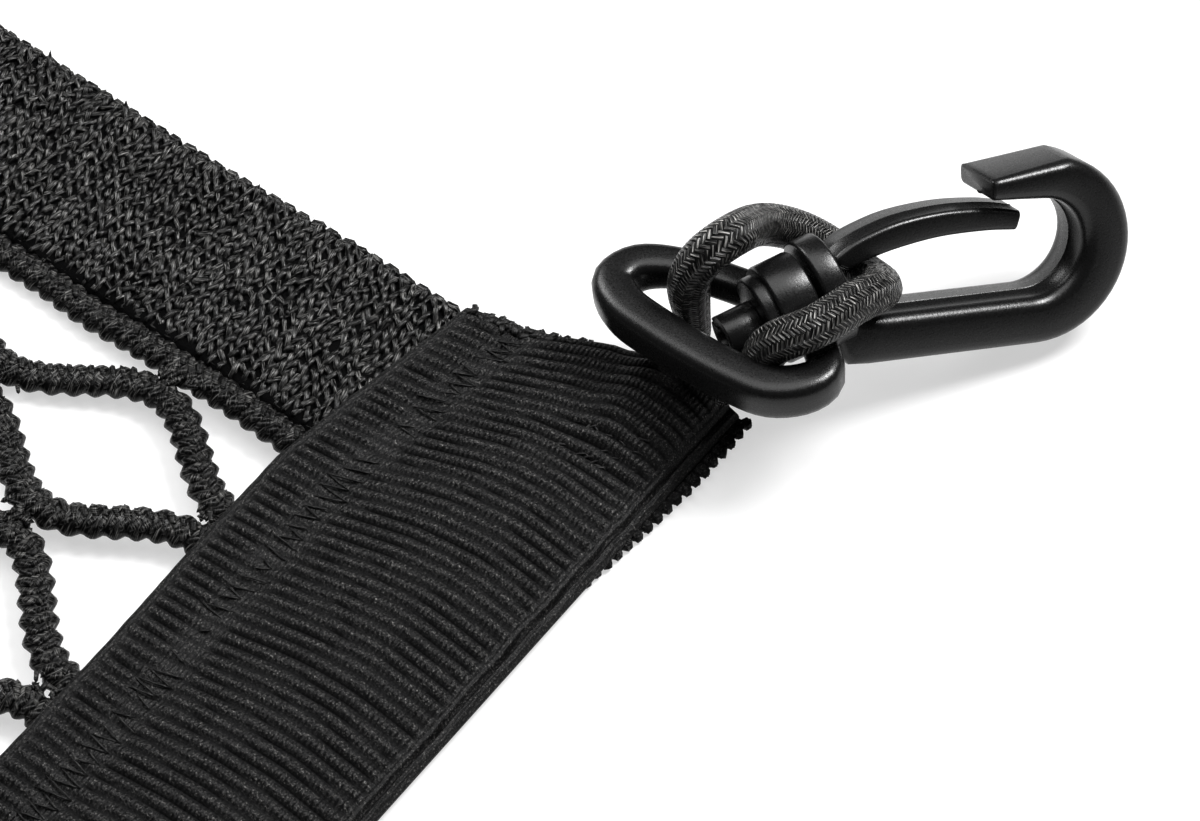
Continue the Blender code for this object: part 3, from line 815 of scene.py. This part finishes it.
def addStrand(pile, path, run, seed):
    rng = np.random.default_rng(seed)
    _, side, up = turnWithPath(path, (0, 1, 0))
    angle = 2 * np.pi * np.arange(strand["points"]) / strand["points"]
    phase = 2 * np.pi * run / strand["pitch"]
    drift = np.interp(run, np.linspace(0, run[-1], 30), rng.normal(0, 0.5, 30))
    left = (0.5 + 0.5 * np.cos(phase + drift)) ** 0.75
    right = (0.5 + 0.5 * np.cos(phase + drift + 0.9)) ** 0.75
    c, s = np.cos(angle)[None], np.sin(angle)[None]
    reach = np.abs(c) ** 1.5
    bead = np.where(c > 0, left[:, None], right[:, None])
    width = strand["halfWidth"] + strand["bead"] * bead * reach
    height = strand["halfHeight"] * (1 + 0.08 * np.cos(phase + drift + 0.45))[:, None]
    height = height + 0.00012 * bead * reach
    flat = np.sign(s) * np.abs(s) ** 0.85
    rings = path[:, None] + (width * c)[..., None] * side[:, None] + (height * flat)[..., None] * up[:, None]
    around = np.arange(strand["points"]) * 0.0009 + seed * 0.013
    # the crown is lower between the beads, which the finish shows as painted shade there
    addTube(pile, rings, run, around, 0.25 + 0.75 * (left[:, None] + right[:, None]) / 2 * np.ones_like(bead))
    # two plump wraps of yarn meet in a V on the top of each bead
    centres = np.arange(strand["pitch"] / 2, run[-1], strand["pitch"] / 2) + rng.normal(0, 0.0002)
    wayX, wayY = np.gradient(path[:, 0]), np.gradient(path[:, 1])
    spots = np.stack([np.interp(centres, run, path[:, k]) for k in range(3)], 1)
    turn = np.arctan2(np.interp(centres, run, wayY), np.interp(centres, run, wayX))
    n = len(centres)
    spots[:, 2] += strand["halfHeight"] - 0.00025
    for arm in (-1, 1):
        out = np.stack([-np.sin(turn), np.cos(turn), np.zeros(n)], 1) * arm * strand["wrapOut"]
        sizes = np.array(strand["wrap"]) * rng.uniform(0.85, 1.15, (n, 3))
        heading = turn + arm * strand["wrapLean"] + rng.normal(0, 0.12, n)
        addLeaves(pile, spots + out, heading, sizes, rng.normal(0, 0.06, n), rng)


def addKnots(pile, side, seed):
    # the strands are knitted together wherever they meet
    rng = np.random.default_rng(seed)
    places, headings, sizes, tilts = [], [], [], []
    step = netSize["columnStep"]
    for column in range(-netSize["columns"] // 2, netSize["columns"] // 2 + 1):
        rows = strand["oddRows"] if column % 2 else strand["evenRows"]
        for row in rows:
            for _ in range(strand["knotStitches"]):
                dx = rng.normal(0, 0.0019)
                dy = rng.normal(0, 0.0011)
                if row == 0.0 and side < 0:
                    continue
                x = column * step + dx
                top = netSize["centreZ"] + strand["halfHeight"] - 0.0001 - 90.0 * dy * dy
                places.append((x, side * (row + dy), top + netLift(x) + rng.normal(0, 0.0001)))
                headings.append(rng.normal(0, 0.75))
                sizes.append(np.array((0.00075, 0.0024, 0.0007)) * rng.uniform(0.8, 1.3))
                tilts.append(rng.normal(0, 0.15))
    addLeaves(pile, np.array(places), np.array(headings), np.array(sizes), np.array(tilts), rng)


def makeStrands():
    for side, word in ((1, "back"), (-1, "front")):
        pile = emptyPile()
        for k, (low, high, lowIsEven) in enumerate(strandLines()):
            path, run = strandPath(low, high, lowIsEven, side)
            addStrand(pile, path, run, 20 + k + (5 if side < 0 else 0))
        # one straight strand runs close beside the border
        middle = strand["oddRows"][-1] + netSize["strandWidth"] / 2 - 0.0002
        path, run = strandPath(middle, middle, True, side)
        addStrand(pile, path, run, 31 + side)
        addKnots(pile, side, 41 + side)
        piece = dress(pilePiece(f"mesh_strands_{word}", pile), strandYarn)
        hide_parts("net")
    print("mesh strands made")


makeStrands()


# ribbed webbing
webbing = {
    "innerX": 0.176, "width": 0.046, "proud": 0.002, "thickness": 0.0013, "ribs": 126, "rowsPerRib": 6,
    "ribHeight": 0.00072, "seamAt": (0.0080, 0.0118),
    "underside": ((0.000, 0.0053), (0.004, 0.0051), (0.009, 0.0043), (0.014, 0.0048), (0.023, 0.0054),
                  (0.032, 0.0047), (0.039, 0.0030), (0.043, 0.0017), (0.046, 0.00135)),
    "end": ((0.000, 0.1183), (0.012, 0.1212), (0.024, 0.1260), (0.033, 0.1284), (0.048, 0.1296)),
    "wander": ((0.000, 0.0016), (0.025, 0.0024), (0.045, 0.0018), (0.065, 0.0006), (0.082, 0.0000),
               (0.095, 0.0014), (0.106, 0.0030), (0.119, 0.0048), (0.140, 0.0070)),
}


def soften(table, at, spread):
    total = 0
    for shift in (-1, -0.5, 0, 0.5, 1):
        total = total + lerpTable(table, at + shift * spread)
    return total / 5


def webbingTop(across, along):
    # height of the upper layer's underside, with the swelling over the cord ends
    height = soften(webbing["underside"], across, 0.0022)
    x = webbing["innerX"] + across
    near = np.exp(-((x - 0.2125) / 0.0082) ** 4) * smoothStep((np.abs(along) - 0.1085) / 0.010)
    near = near * smoothStep((0.0458 - across) / 0.0045)
    dip = np.exp(-((x - 0.2090) / 0.0075) ** 2 - ((np.abs(along) - 0.1085) / 0.0045) ** 2)
    return height + 0.0026 * near - 0.0009 * dip


def webbingPlace(across, v, width):
    end = lerpTable(webbing["end"], across)
    along = v * end
    shift = lerpTable(webbing["wander"], np.abs(along)) * (1 - across / width)
    return webbing["innerX"] + across + shift, along


def edgeTuck(along):
    # how far the lower layer's edge is drawn in under the upper one, away from the corners
    return 0.0027 * (1 - smoothStep((np.abs(along) - 0.084) / 0.036))


def ribWave(v):
    # 1 on the crown of each rib and 0 in the grooves
    phase = v * webbing["ribs"] / 2 * 2 * math.pi
    return np.abs(np.cos(phase / 2)) ** 0.75


topColumns = (0.0, 0.0004, 0.0009, 0.0014, 0.0022, 0.0034, 0.0048, 0.0062, 0.0074, 0.0082, 0.0090, 0.0098,
              0.0106, 0.0114, 0.0122, 0.0134, 0.0150, 0.0170, 0.0192, 0.0214, 0.0236, 0.0258, 0.0280, 0.0302, 0.0324,
              0.0344, 0.0362, 0.0378, 0.0392, 0.0404, 0.0414, 0.0422, 0.0428, 0.0433, 0.0438, 0.0443, 0.0448,
              0.0453, 0.0457, 0.0460)


def upperLayer(name, side, seed):
    spec = webbing
    across = np.array(topColumns)
    rows = spec["ribs"] * spec["rowsPerRib"]
    v = np.linspace(-1, 1, rows + 1)
    grid, acrossGrid = np.meshgrid(v, across, indexing="ij")
    slip = np.zeros_like(grid)
    puckers = np.zeros_like(grid)
    for i in range(0, rows + 1):
        for j in range(len(across)):
            spot = Vector((across[j] * 120, v[i] * 15, seed))
            slip[i, j] = noise.noise(spot) * 0.0035
            puckers[i, j] = noise.noise(Vector((across[j] * 230, v[i] * 42, seed + 4)))
    x, along = webbingPlace(acrossGrid, grid, spec["width"])
    wave = ribWave(grid + slip)
    gain = smoothStep((acrossGrid - 0.0009) / 0.0012) * smoothStep((0.0432 - acrossGrid) / 0.0008)
    seamLow, seamHigh = spec["seamAt"]
    seam = smoothStep((acrossGrid - seamLow + 0.0015) / 0.0015)
    seam = seam * smoothStep((seamHigh + 0.0015 - acrossGrid) / 0.0015)
    gain = gain * (1 - 0.55 * seam)
    end = 1 - smoothStep((np.abs(grid) - 0.992) / 0.008)
    top = webbingTop(acrossGrid, along) + spec["thickness"] - 0.00015
    top = top + spec["ribHeight"] * (wave - 0.35) * gain * end
    top = top + 0.00016 * puckers * (1 + 1.8 * seam) - 0.00016 * seam
    # a fine line, a groove and a smooth edge cord finish the outer side
    top = top + 0.00034 * np.exp(-((acrossGrid - 0.0436) / 0.00035) ** 2)
    top = top - 0.00045 * np.exp(-((acrossGrid - 0.0443) / 0.00030) ** 2)
    top = top + 0.00034 * np.exp(-((acrossGrid - 0.0451) / 0.00045) ** 2)
    top = top - 0.00035 * smoothStep((acrossGrid - 0.0425) / 0.003)
    edge = np.minimum(acrossGrid, spec["width"] - acrossGrid)
    top = top - 0.00045 * (1 - np.minimum(1, edge / 0.0006)) ** 2
    ragged = 0.0004 * np.array([noise.noise(Vector((a * 900, seed, 3.0))) for a in across])[None]
    along = along + np.sign(grid) * ragged * (np.abs(grid) > 0.985)
    upper = np.stack([side * x, along, top], -1)
    below = np.linspace(spec["width"], 0, 12)
    gridLow, acrossLow = np.meshgrid(v, below, indexing="ij")
    xLow, alongLow = webbingPlace(acrossLow, gridLow, spec["width"])
    lower = np.stack([side * xLow, alongLow, webbingTop(acrossLow, alongLow)], -1)
    rings = np.concatenate([upper, lower], axis=1)
    around = np.concatenate([across, spec["width"] + np.linspace(0.001, spec["width"], 12)])
    # crown follows the ribs and gives painted shade in their grooves; flat parts and the underside get an even
    # middle value
    flatCrown = 1 - gain * end
    crown = np.clip(wave * (1 - flatCrown) + 0.7 * flatCrown, 0, 1)
    crown = np.concatenate([crown, np.full(gridLow.shape, 0.5)], 1)
    if side > 0:
        rings, around, crown = rings[:, ::-1], around[::-1], crown[:, ::-1]
    pile = emptyPile()
    addTube(pile, rings, v * 0.129, around, crown)
    return pilePiece(name, pile, angle=75)


def lowerLayer(name, side):
    spec = webbing
    rows = spec["ribs"] * spec["rowsPerRib"]
    v = np.linspace(-1, 1, rows + 1)
    width = spec["width"] + spec["proud"] - 0.0006
    topAcross = np.array((0.0003, 0.010, 0.030, 0.0440, 0.0460, width))
    lowAcross = np.array((width - 0.0004, 0.040, 0.024, 0.012, 0.0010))
    wave = ribWave(v)[:, None]
    parts = []
    for across, base, sign in ((topAcross, spec["thickness"] - 0.0001, 1), (lowAcross, 0.00024, -1)):
        grid, acrossGrid = np.meshgrid(v, across, indexing="ij")
        x, along = webbingPlace(acrossGrid, grid, spec["width"] + spec["proud"])
        x = x - edgeTuck(along) * smoothStep((acrossGrid - 0.038) / 0.008)
        z = base + sign * 0.00020 * wave * np.ones_like(x)
        parts.append(np.stack([side * x, along, z], -1))
    rings = np.concatenate(parts, axis=1)
    around = np.concatenate([topAcross, 0.05 + np.arange(len(lowAcross)) * 0.01])
    if side > 0:
        rings, around = rings[:, ::-1], around[::-1]
    pile = emptyPile()
    # the crown follows the ribs, a painted shade in their grooves
    addTube(pile, rings, v * 0.129, around, wave * np.ones((1, rings.shape[1])))
    return pilePiece(name, pile, angle=75)


def edgeBeads(name, side, seed):
    # the lower layer's edge shows as a row of round beads, one to each rib
    rng = np.random.default_rng(seed)
    places, sizes, headings, tilts = [], [], [], []
    for k in range(webbing["ribs"] + 1):
        v = -1 + 2 * k / webbing["ribs"]
        x, along = webbingPlace(np.array(0.0472), np.array(v), webbing["width"] + webbing["proud"])
        for turn in (0.0, math.pi / 3, 2 * math.pi / 3):
            outward = float(x) - float(edgeTuck(along)) + rng.normal(0, 0.00006)
            places.append((side * outward, float(along), 0.00098))
            headings.append(turn + math.pi / 4 + rng.normal(0, 0.1))
            sizes.append(np.array((0.00160, 0.00175, 0.00160)) * rng.uniform(0.93, 1.06))
            tilts.append(0.0)
    pile = emptyPile()
    addLeaves(pile, np.array(places), np.array(headings), np.array(sizes), np.array(tilts), rng)
    return pilePiece(name, pile)


seams = {"frayed": 70, "pitch": 0.00205, "thread": (0.00030, 0.00026), "tackStitches": 40,
         "tackBox": (0.2035, 0.2150, 0.1060, 0.1125)}


def seamThreads(name, side, seed):
    rng = np.random.default_rng(seed)
    places, sizes, headings, tilts = [], [], [], []
    wide, thick = seams["thread"]
    low, high = webbing["seamAt"]

    def stitch(ax, ay, bx, by, sink=0.0):
        a = np.array(webbingSpot(ax, ay))
        b = np.array(webbingSpot(bx, by))
        middle = (a + b) / 2
        gap = b - a
        length = float(np.hypot(gap[0], gap[1]))
        places.append((side * middle[0], middle[1], middle[2] - 0.00011 - sink))
        headings.append(math.atan2(-side * gap[0], gap[1]))
        sizes.append((wide, length * 1.12, thick))
        tilts.append(math.atan2(gap[2], length))

    def webbingSpot(across, v):
        x, along = webbingPlace(np.array(across), np.array(v), webbing["width"])
        height = float(webbingTop(np.array(across), along)) + webbing["thickness"] + 0.0001
        return float(x), float(along), height

    count = int(0.242 / seams["pitch"])
    for k in range(count):
        v0 = -0.985 + 1.97 * k / count
        v1 = -0.985 + 1.97 * (k + 0.5) / count
        v2 = -0.985 + 1.97 * (k + 1) / count
        jog = rng.normal(0, 0.00060, 2)
        if rng.random() < 0.75:
            stitch(low + jog[0], v0, high + jog[1], v1)
        if rng.random() < 0.60:
            stitch(high + jog[1], v1, low + jog[0], v2)
    left, right, near, far = seams["tackBox"]
    for end in (-1, 1):
        for _ in range(seams["tackStitches"]):
            x = rng.uniform(left, right) - webbing["innerX"]
            y = rng.uniform(near, far) + 0.28 * (x - (left - webbing["innerX"]))
            reach = rng.uniform(0.0012, 0.0026)
            turn = rng.normal(0.3, 0.5)
            vScale = 1 / float(lerpTable(webbing["end"], x))
            farX, farY = x + reach * math.cos(turn), y + reach * math.sin(turn)
            stitch(x, end * y * vScale, farX, end * farY * vScale, 0.0001)
    # the cut end's inner corner is lumpy and a little frayed
    for end in (-1, 1):
        for _ in range(seams["frayed"]):
            across = float(np.clip(rng.normal(0.011, 0.0055), 0.0015, 0.030))
            spot = webbingSpot(across, end * (1 - abs(rng.normal(0, 0.006))))
            places.append((side * spot[0], spot[1] + end * 0.0002, spot[2] - rng.uniform(0.0001, 0.0010)))
            headings.append(rng.normal(0, 0.9))
            sizes.append(np.array((0.00085, 0.0021, 0.00085)) * rng.uniform(0.7, 1.3))
            tilts.append(rng.normal(0, 0.2))
    pile = emptyPile()
    addLeaves(pile, np.array(places), np.array(headings), np.array(sizes), np.array(tilts), rng)
    return pilePiece(name, pile)


def makeWebbing():
    for side, word, seed in ((1, "right", 51), (-1, "left", 52)):
        upper = dress(upperLayer(f"ribbed_upper_{word}", side, seed), ribbedYarn)
        lower = dress(lowerLayer(f"ribbed_lower_{word}", side), ribbedYarn)
        beads = dress(edgeBeads(f"ribbed_edge_{word}", side, seed), ribbedYarn)
        threads = dress(seamThreads(f"seam_{word}", side, seed), sewingThread)
        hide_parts(f"webbing_upper_{word}")
        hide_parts(f"webbing_lower_{word}")
    print("webbing made")


makeWebbing()


# snap hooks
hook = {
    "thickness": 0.0100, "arcSteps": 26, "cornerPoints": 5, "seamRidge": 0.00022,
    "outer": {"centre": (0.0316, 0.0134), "radius": 0.0140},
    "inner": {"centre": (0.0305, 0.0140), "radius": 0.0074},
    "spine": (-0.0006, 0.0066), "tip": ((0.0221, 0.0252), (0.0225, 0.0221)), "fillet": 0.0020,
}
swivel = {
    "point": (-0.0025, 0.0096), "tilt": 20.0, "shaft": 0.0023, "head": 0.0033, "headFrom": 0.0099,
    "headTo": 0.0151, "hollow": 0.0018,
    # the disc at the hook's root, the ring's barrel and its narrower neck: start, end, half height, half width
    "disc": (0.0025, -0.0012, 0.0084, 0.0074), "barrel": (-0.0019, -0.0078, 0.0075, 0.0066),
    "neck": (-0.0070, -0.0098, 0.0066, 0.0058),
}


def roundedSection(low, high, half, fillet, ridge=0.0):
    # a rounded oblong between two points of the outline, its width along the frame's third axis
    low, high = Vector((*low, 0)), Vector((*high, 0))
    depth = (high - low).length
    rise = (high - low) / depth
    out = Vector((0, 0, 1))
    steps = hook["cornerPoints"]
    radius = min(fillet, depth * 0.46, half * 0.9)
    ring = []
    for quarter, (sideSign, riseSign) in enumerate(((1, 1), (-1, 1), (-1, -1), (1, -1))):
        centre = out * sideSign * (half - radius) + rise * (riseSign * (depth / 2 - radius))
        for k in range(steps + 1):
            angle = math.pi / 2 * (quarter + k / steps)
            ring.append(centre + (out * math.cos(angle) + rise * math.sin(angle)) * radius)
        if quarter in (0, 2):
            sign = riseSign
            for across, lift in ((0.00016, 0.0), (0.0, ridge if quarter == 0 else 0.0), (-0.00016, 0.0)):
                ring.append(out * across * sideSign + rise * sign * (depth / 2 + lift))
    middle = (low + high) / 2
    return [tuple(middle + p) for p in ring]


def arcPoint(spec, degrees):
    angle = math.radians(degrees)
    x, y = spec["centre"]
    return (x + spec["radius"] * math.cos(angle), y + spec["radius"] * math.sin(angle))


def mixPoints(a, b, share):
    return tuple(p + (q - p) * share for p, q in zip(a, b))


def makeHookBody():
    half = hook["thickness"] / 2
    stations = []
    # the flat base wall, down to the foot and round the corner into the spine
    for outerPoint, innerPoint, fillet in (
        ((-0.00434, 0.01319), (-0.00200, 0.01400), 0.0010),
        ((-0.00297, 0.00943), (-0.00060, 0.01020), 0.0010),
        ((-0.00160, 0.00567), (0.00050, 0.00780), 0.0010),
        ((-0.00058, 0.00285), (0.00150, 0.00690), 0.0012),
        ((0.00010, 0.00100), (0.00260, 0.00665), 0.0014),
        ((0.00110, -0.00020), (0.00380, 0.00660), 0.0015),
    ):
        stations.append((outerPoint, innerPoint, fillet))
    for k in range(1, 15):
        share = k / 14
        spineOut = (0.0024 + 0.0288 * share, hook["spine"][0])
        spineIn = (0.0048 + 0.0252 * share, hook["spine"][1])
        stations.append((spineOut, spineIn, hook["fillet"]))
    steps = hook["arcSteps"]
    for k in range(steps + 1):
        share = k / steps
        stations.append((arcPoint(hook["outer"], -89 + 167 * share), arcPoint(hook["inner"], -89 + 177 * share),
                         hook["fillet"]))
    outerEnd, innerEnd = arcPoint(hook["outer"], 78), arcPoint(hook["inner"], 88)
    for k in range(1, 15):
        share = k / 14
        outerPoint = mixPoints(outerEnd, hook["tip"][0], share)
        innerPoint = mixPoints(innerEnd, hook["tip"][1], share)
        stations.append((outerPoint, innerPoint, hook["fillet"] * (1 - 0.45 * share)))
    tipOut, tipIn = hook["tip"]
    lastOut = (mixPoints(tipOut, tipIn, 0.10)[0], tipOut[1] - 0.00012)
    stations.append((lastOut, (tipIn[0], tipIn[1] + 0.0001), 0.0007))
    rings = [roundedSection(a, b, half, fillet, hook["seamRidge"]) for a, b, fillet in stations]
    last = np.array(rings[-1])
    rings[-1] = [tuple(p) for p in last - (0.00025, 0, 0)]
    shrunk = last.mean(0) + (last - last.mean(0)) * (0.8, 0.8, 0.93) - (0.00050, 0, 0)
    rings.append([tuple(p) for p in shrunk])
    return loftByExtrude("hook_body", rings)


def swivelLine():
    tilt = math.radians(swivel["tilt"])
    return Vector((*swivel["point"], 0)), Vector((math.cos(tilt), math.sin(tilt), 0))


def roundBar(name, start, end, radius, wide=None, sides=44):
    # a cylinder on the swivel's line, or an oval bar when its width is given
    point, axis = swivelLine()
    deselectAll()
    bpy.ops.mesh.primitive_cylinder_add(vertices=sides, radius=radius, depth=abs(end - start))
    obj = bpy.context.active_object
    obj.name = name
    turn = axis.to_track_quat("Z", "Y").to_matrix().to_4x4()
    obj.data.transform(Matrix.Translation(point + axis * (start + end) / 2) @ turn)
    obj.data.transform(Matrix.Diagonal((1, 1, (wide or radius) / radius, 1)))
    return obj


def bevelRims(obj, width, segments=3):
    deselectAll()
    obj.select_set(True)
    bpy.context.view_layer.objects.active = obj
    bpy.ops.object.mode_set(mode="EDIT")
    shape = bmesh.from_edit_mesh(obj.data)
    for edge in shape.edges:
        edge.select = len(edge.link_faces) == 2 and edge.calc_face_angle(0) > math.radians(50)
    bmesh.update_edit_mesh(obj.data)
    bpy.ops.mesh.bevel(offset=width, segments=segments, affect="EDGES")
    bpy.ops.object.mode_set(mode="OBJECT")


def makePin():
    # shaft and hollow split head at the end of the hook's swivel
    shaft = roundBar("pin_shaft", -0.0004, -swivel["headFrom"] - 0.001, swivel["shaft"])
    head = roundBar("pin_head", -swivel["headFrom"], -swivel["headTo"], swivel["head"])
    hollow = roundBar("pin_hollow", -swivel["headTo"] + 0.0028, -swivel["headTo"] - 0.001, swivel["hollow"])
    addModifier(head, "BOOLEAN", operation="DIFFERENCE", object=hollow, solver="EXACT")
    bpy.data.objects.remove(hollow)
    point, axis = swivelLine()
    deselectAll()
    bpy.ops.mesh.primitive_cube_add(size=1.0)
    slot = bpy.context.active_object
    turn = axis.to_track_quat("Z", "Y").to_matrix().to_4x4()
    slot.data.transform(Matrix.Diagonal((0.0007, 0.009, 0.0036, 1)))
    slot.data.transform(Matrix.Translation(point - axis * (swivel["headTo"] - 0.0004)) @ turn
                        @ Matrix.Rotation(math.radians(35), 4, "Z"))
    addModifier(head, "BOOLEAN", operation="DIFFERENCE", object=slot, solver="EXACT")
    bpy.data.objects.remove(slot)
    addModifier(head, "BEVEL", width=0.00022, segments=2, limit_method="ANGLE", angle_limit=math.radians(40))
    return joinAll(head, [shaft])


ring = {
    "bar": (0.975, -0.170, 0.140), "step": 0.0011, "points": 28, "squareness": 3.6, "size": 0.95,
    # back along the swivel's line, along the bar, section radius
    "route": ((0.0066, -0.0020, 0.0022), (0.0060, -0.0050, 0.0025), (0.0072, -0.0092, 0.0025),
              (0.0096, -0.0150, 0.0027), (0.0138, -0.0189, 0.0031), (0.0186, -0.0179, 0.0033),
              (0.0209, -0.0126, 0.0034), (0.0209, -0.0058, 0.0034), (0.0203, 0.0010, 0.0033),
              (0.0193, 0.0070, 0.0033), (0.0176, 0.0122, 0.0033), (0.0138, 0.0146, 0.0032),
              (0.0100, 0.0138, 0.0029), (0.0070, 0.0090, 0.0025), (0.0060, 0.0050, 0.0024),
              (0.0066, 0.0020, 0.0022)),
}


def makeRing():
    point, axis = swivelLine()
    bar = (hookFrame.to_3x3().inverted() @ Vector(ring["bar"])).normalized()
    route = []
    for back, along, radius in ring["route"]:
        route.append((*(point - axis * back + bar * along), radius))
    smooth = smoothRoute(route, ring["step"])
    path, radii = smooth[:, :3], smooth[:, 3]
    out = np.array(axis.cross(bar).normalized())
    tangent = np.gradient(path, axis=0)
    tangent /= np.linalg.norm(tangent, axis=1)[:, None]
    side = np.cross(tangent, out)
    angle = 2 * np.pi * np.arange(ring["points"]) / ring["points"]
    # the section is a rounded square, so soft creases run round the ring
    power = ring["squareness"]
    swell = ring["size"] * (np.abs(np.cos(angle)) ** power + np.abs(np.sin(angle)) ** power) ** (-1 / power)
    rings = path[:, None] + (radii[:, None] * swell[None])[..., None] * (
        np.cos(angle)[None, :, None] * out + np.sin(angle)[None, :, None] * side[:, None])
    loop = loftByExtrude("eye_loop", [[tuple(p) for p in section] for section in rings.tolist()])
    barrel, neck = roundBar("eye_barrel", *swivel["barrel"]), roundBar("eye_neck", *swivel["neck"])
    bevelRims(barrel, 0.0005)
    bevelRims(neck, 0.0005)
    return joinAll(loop, [barrel, neck])


gate = {
    "width": 0.0066, "fillet": 0.0008, "ridge": 0.00012,
    "top": ((-0.0012, 0.0158), (0.0002, 0.0169), (0.0030, 0.0183), (0.0085, 0.0200), (0.0160, 0.0208),
            (0.0230, 0.0205), (0.0275, 0.0197)),
    "under": ((-0.0010, 0.0144), (0.0008, 0.0136), (0.0030, 0.0145), (0.0080, 0.0159), (0.0148, 0.0170),
              (0.0220, 0.0172), (0.0269, 0.0169)),
}


def makeGate():
    top = smoothRoute([(*p, 0) for p in gate["top"]], 0.00085)[:, :2]
    under = smoothRoute([(*p, 0) for p in gate["under"]], 0.00085)[:, :2]
    count = 34
    share = np.linspace(0, 1, count)

    def at(points):
        run = np.linspace(0, 1, len(points))
        return np.stack([np.interp(share, run, points[:, k]) for k in range(2)], 1)

    half = gate["width"] / 2
    rings = []
    for upper, lower in zip(at(top), at(under)):
        rings.append(roundedSection(tuple(lower), tuple(upper), half, gate["fillet"], gate["ridge"]))
    for end, way in ((0, -1), (-1, 1)):
        ringEnd = np.array(rings[end])
        inward = (np.array(rings[1 if end == 0 else -2]) - ringEnd).mean(0)
        inward /= np.linalg.norm(inward)
        middle = ringEnd.mean(0)
        closer = middle + (ringEnd - middle) * (0.86, 0.86, 0.92) - inward * 0.00022
        if end == 0:
            rings.insert(0, [tuple(p) for p in closer])
        else:
            rings.append([tuple(p) for p in closer])
    return loftByExtrude("gate_leaf", rings)


def makeHooks():
    bodyShape = makeHookBody()
    smoothByAngle(bodyShape, 55)
    pin = makePin()
    smoothByAngle(pin, 40)
    disc = roundBar("root_disc", *swivel["disc"])
    bevelRims(disc, 0.0005)
    smoothByAngle(disc, 40)
    hookPiece = joinAll(bodyShape, [pin, disc])
    ringPiece = makeRing()
    smoothByAngle(ringPiece, 50)
    gatePiece = makeGate()
    smoothByAngle(gatePiece, 50)
    for piece, base, slot, node in ((hookPiece, "moulded_hook", "black_plastic", "hook"),
                                    (ringPiece, "moulded_eye", "black_plastic_ring", "eye_ring"),
                                    (gatePiece, "moulded_gate", "black_plastic_gate", "gate")):
        settle(piece, hookFrame)
        for number, made in enumerate(mirroredCopies(piece, base), start=1):
            dress(made, mouldedPlastic, f"gate_{number}" if node == "gate" else body)
            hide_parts(f"{node}_{number}")
    print("hooks, eyes and gates made")


makeHooks()


# stray fibres
fibres = {"edgeCount": 130, "radius": 0.000018, "length": (0.0012, 0.0038)}


def makeFibres():
    rng = np.random.default_rng(71)
    pile = emptyPile()
    for k in range(fibres["edgeCount"] * 2):
        side = 1 if k % 2 else -1
        x = rng.uniform(-0.18, 0.18)
        start = np.array((x, side * (netSize["edgeY"] - 0.0006), 0.0022 + float(netLift(x))))
        out = np.array((rng.normal(0, 0.6), side * rng.uniform(0.5, 1.2), rng.uniform(-0.2, 0.6)))
        curl = np.array((rng.normal(0, 1.0), rng.normal(0, 0.6), rng.normal(0, 0.3)))
        long = rng.uniform(*fibres["length"])
        t = np.linspace(0, 1, 8)[:, None]
        path = start + long * (out * t + curl * t**2 * 0.9)
        path[:, 2] = np.maximum(path[:, 2], 0.0002)
        _, sideWay, up = turnWithPath(path, (0.1, 0.2, 1.0))
        angle = 2 * np.pi * np.arange(3) / 3
        rings = path[:, None] + fibres["radius"] * (
            np.cos(angle)[None, :, None] * sideWay[:, None] + np.sin(angle)[None, :, None] * up[:, None])
        addTube(pile, rings, np.linspace(0, long, 8), np.arange(3) * 0.00003)
    dress(pilePiece("stray_fibres", pile), knitYarn)
    print("stray fibres made")


makeFibres()
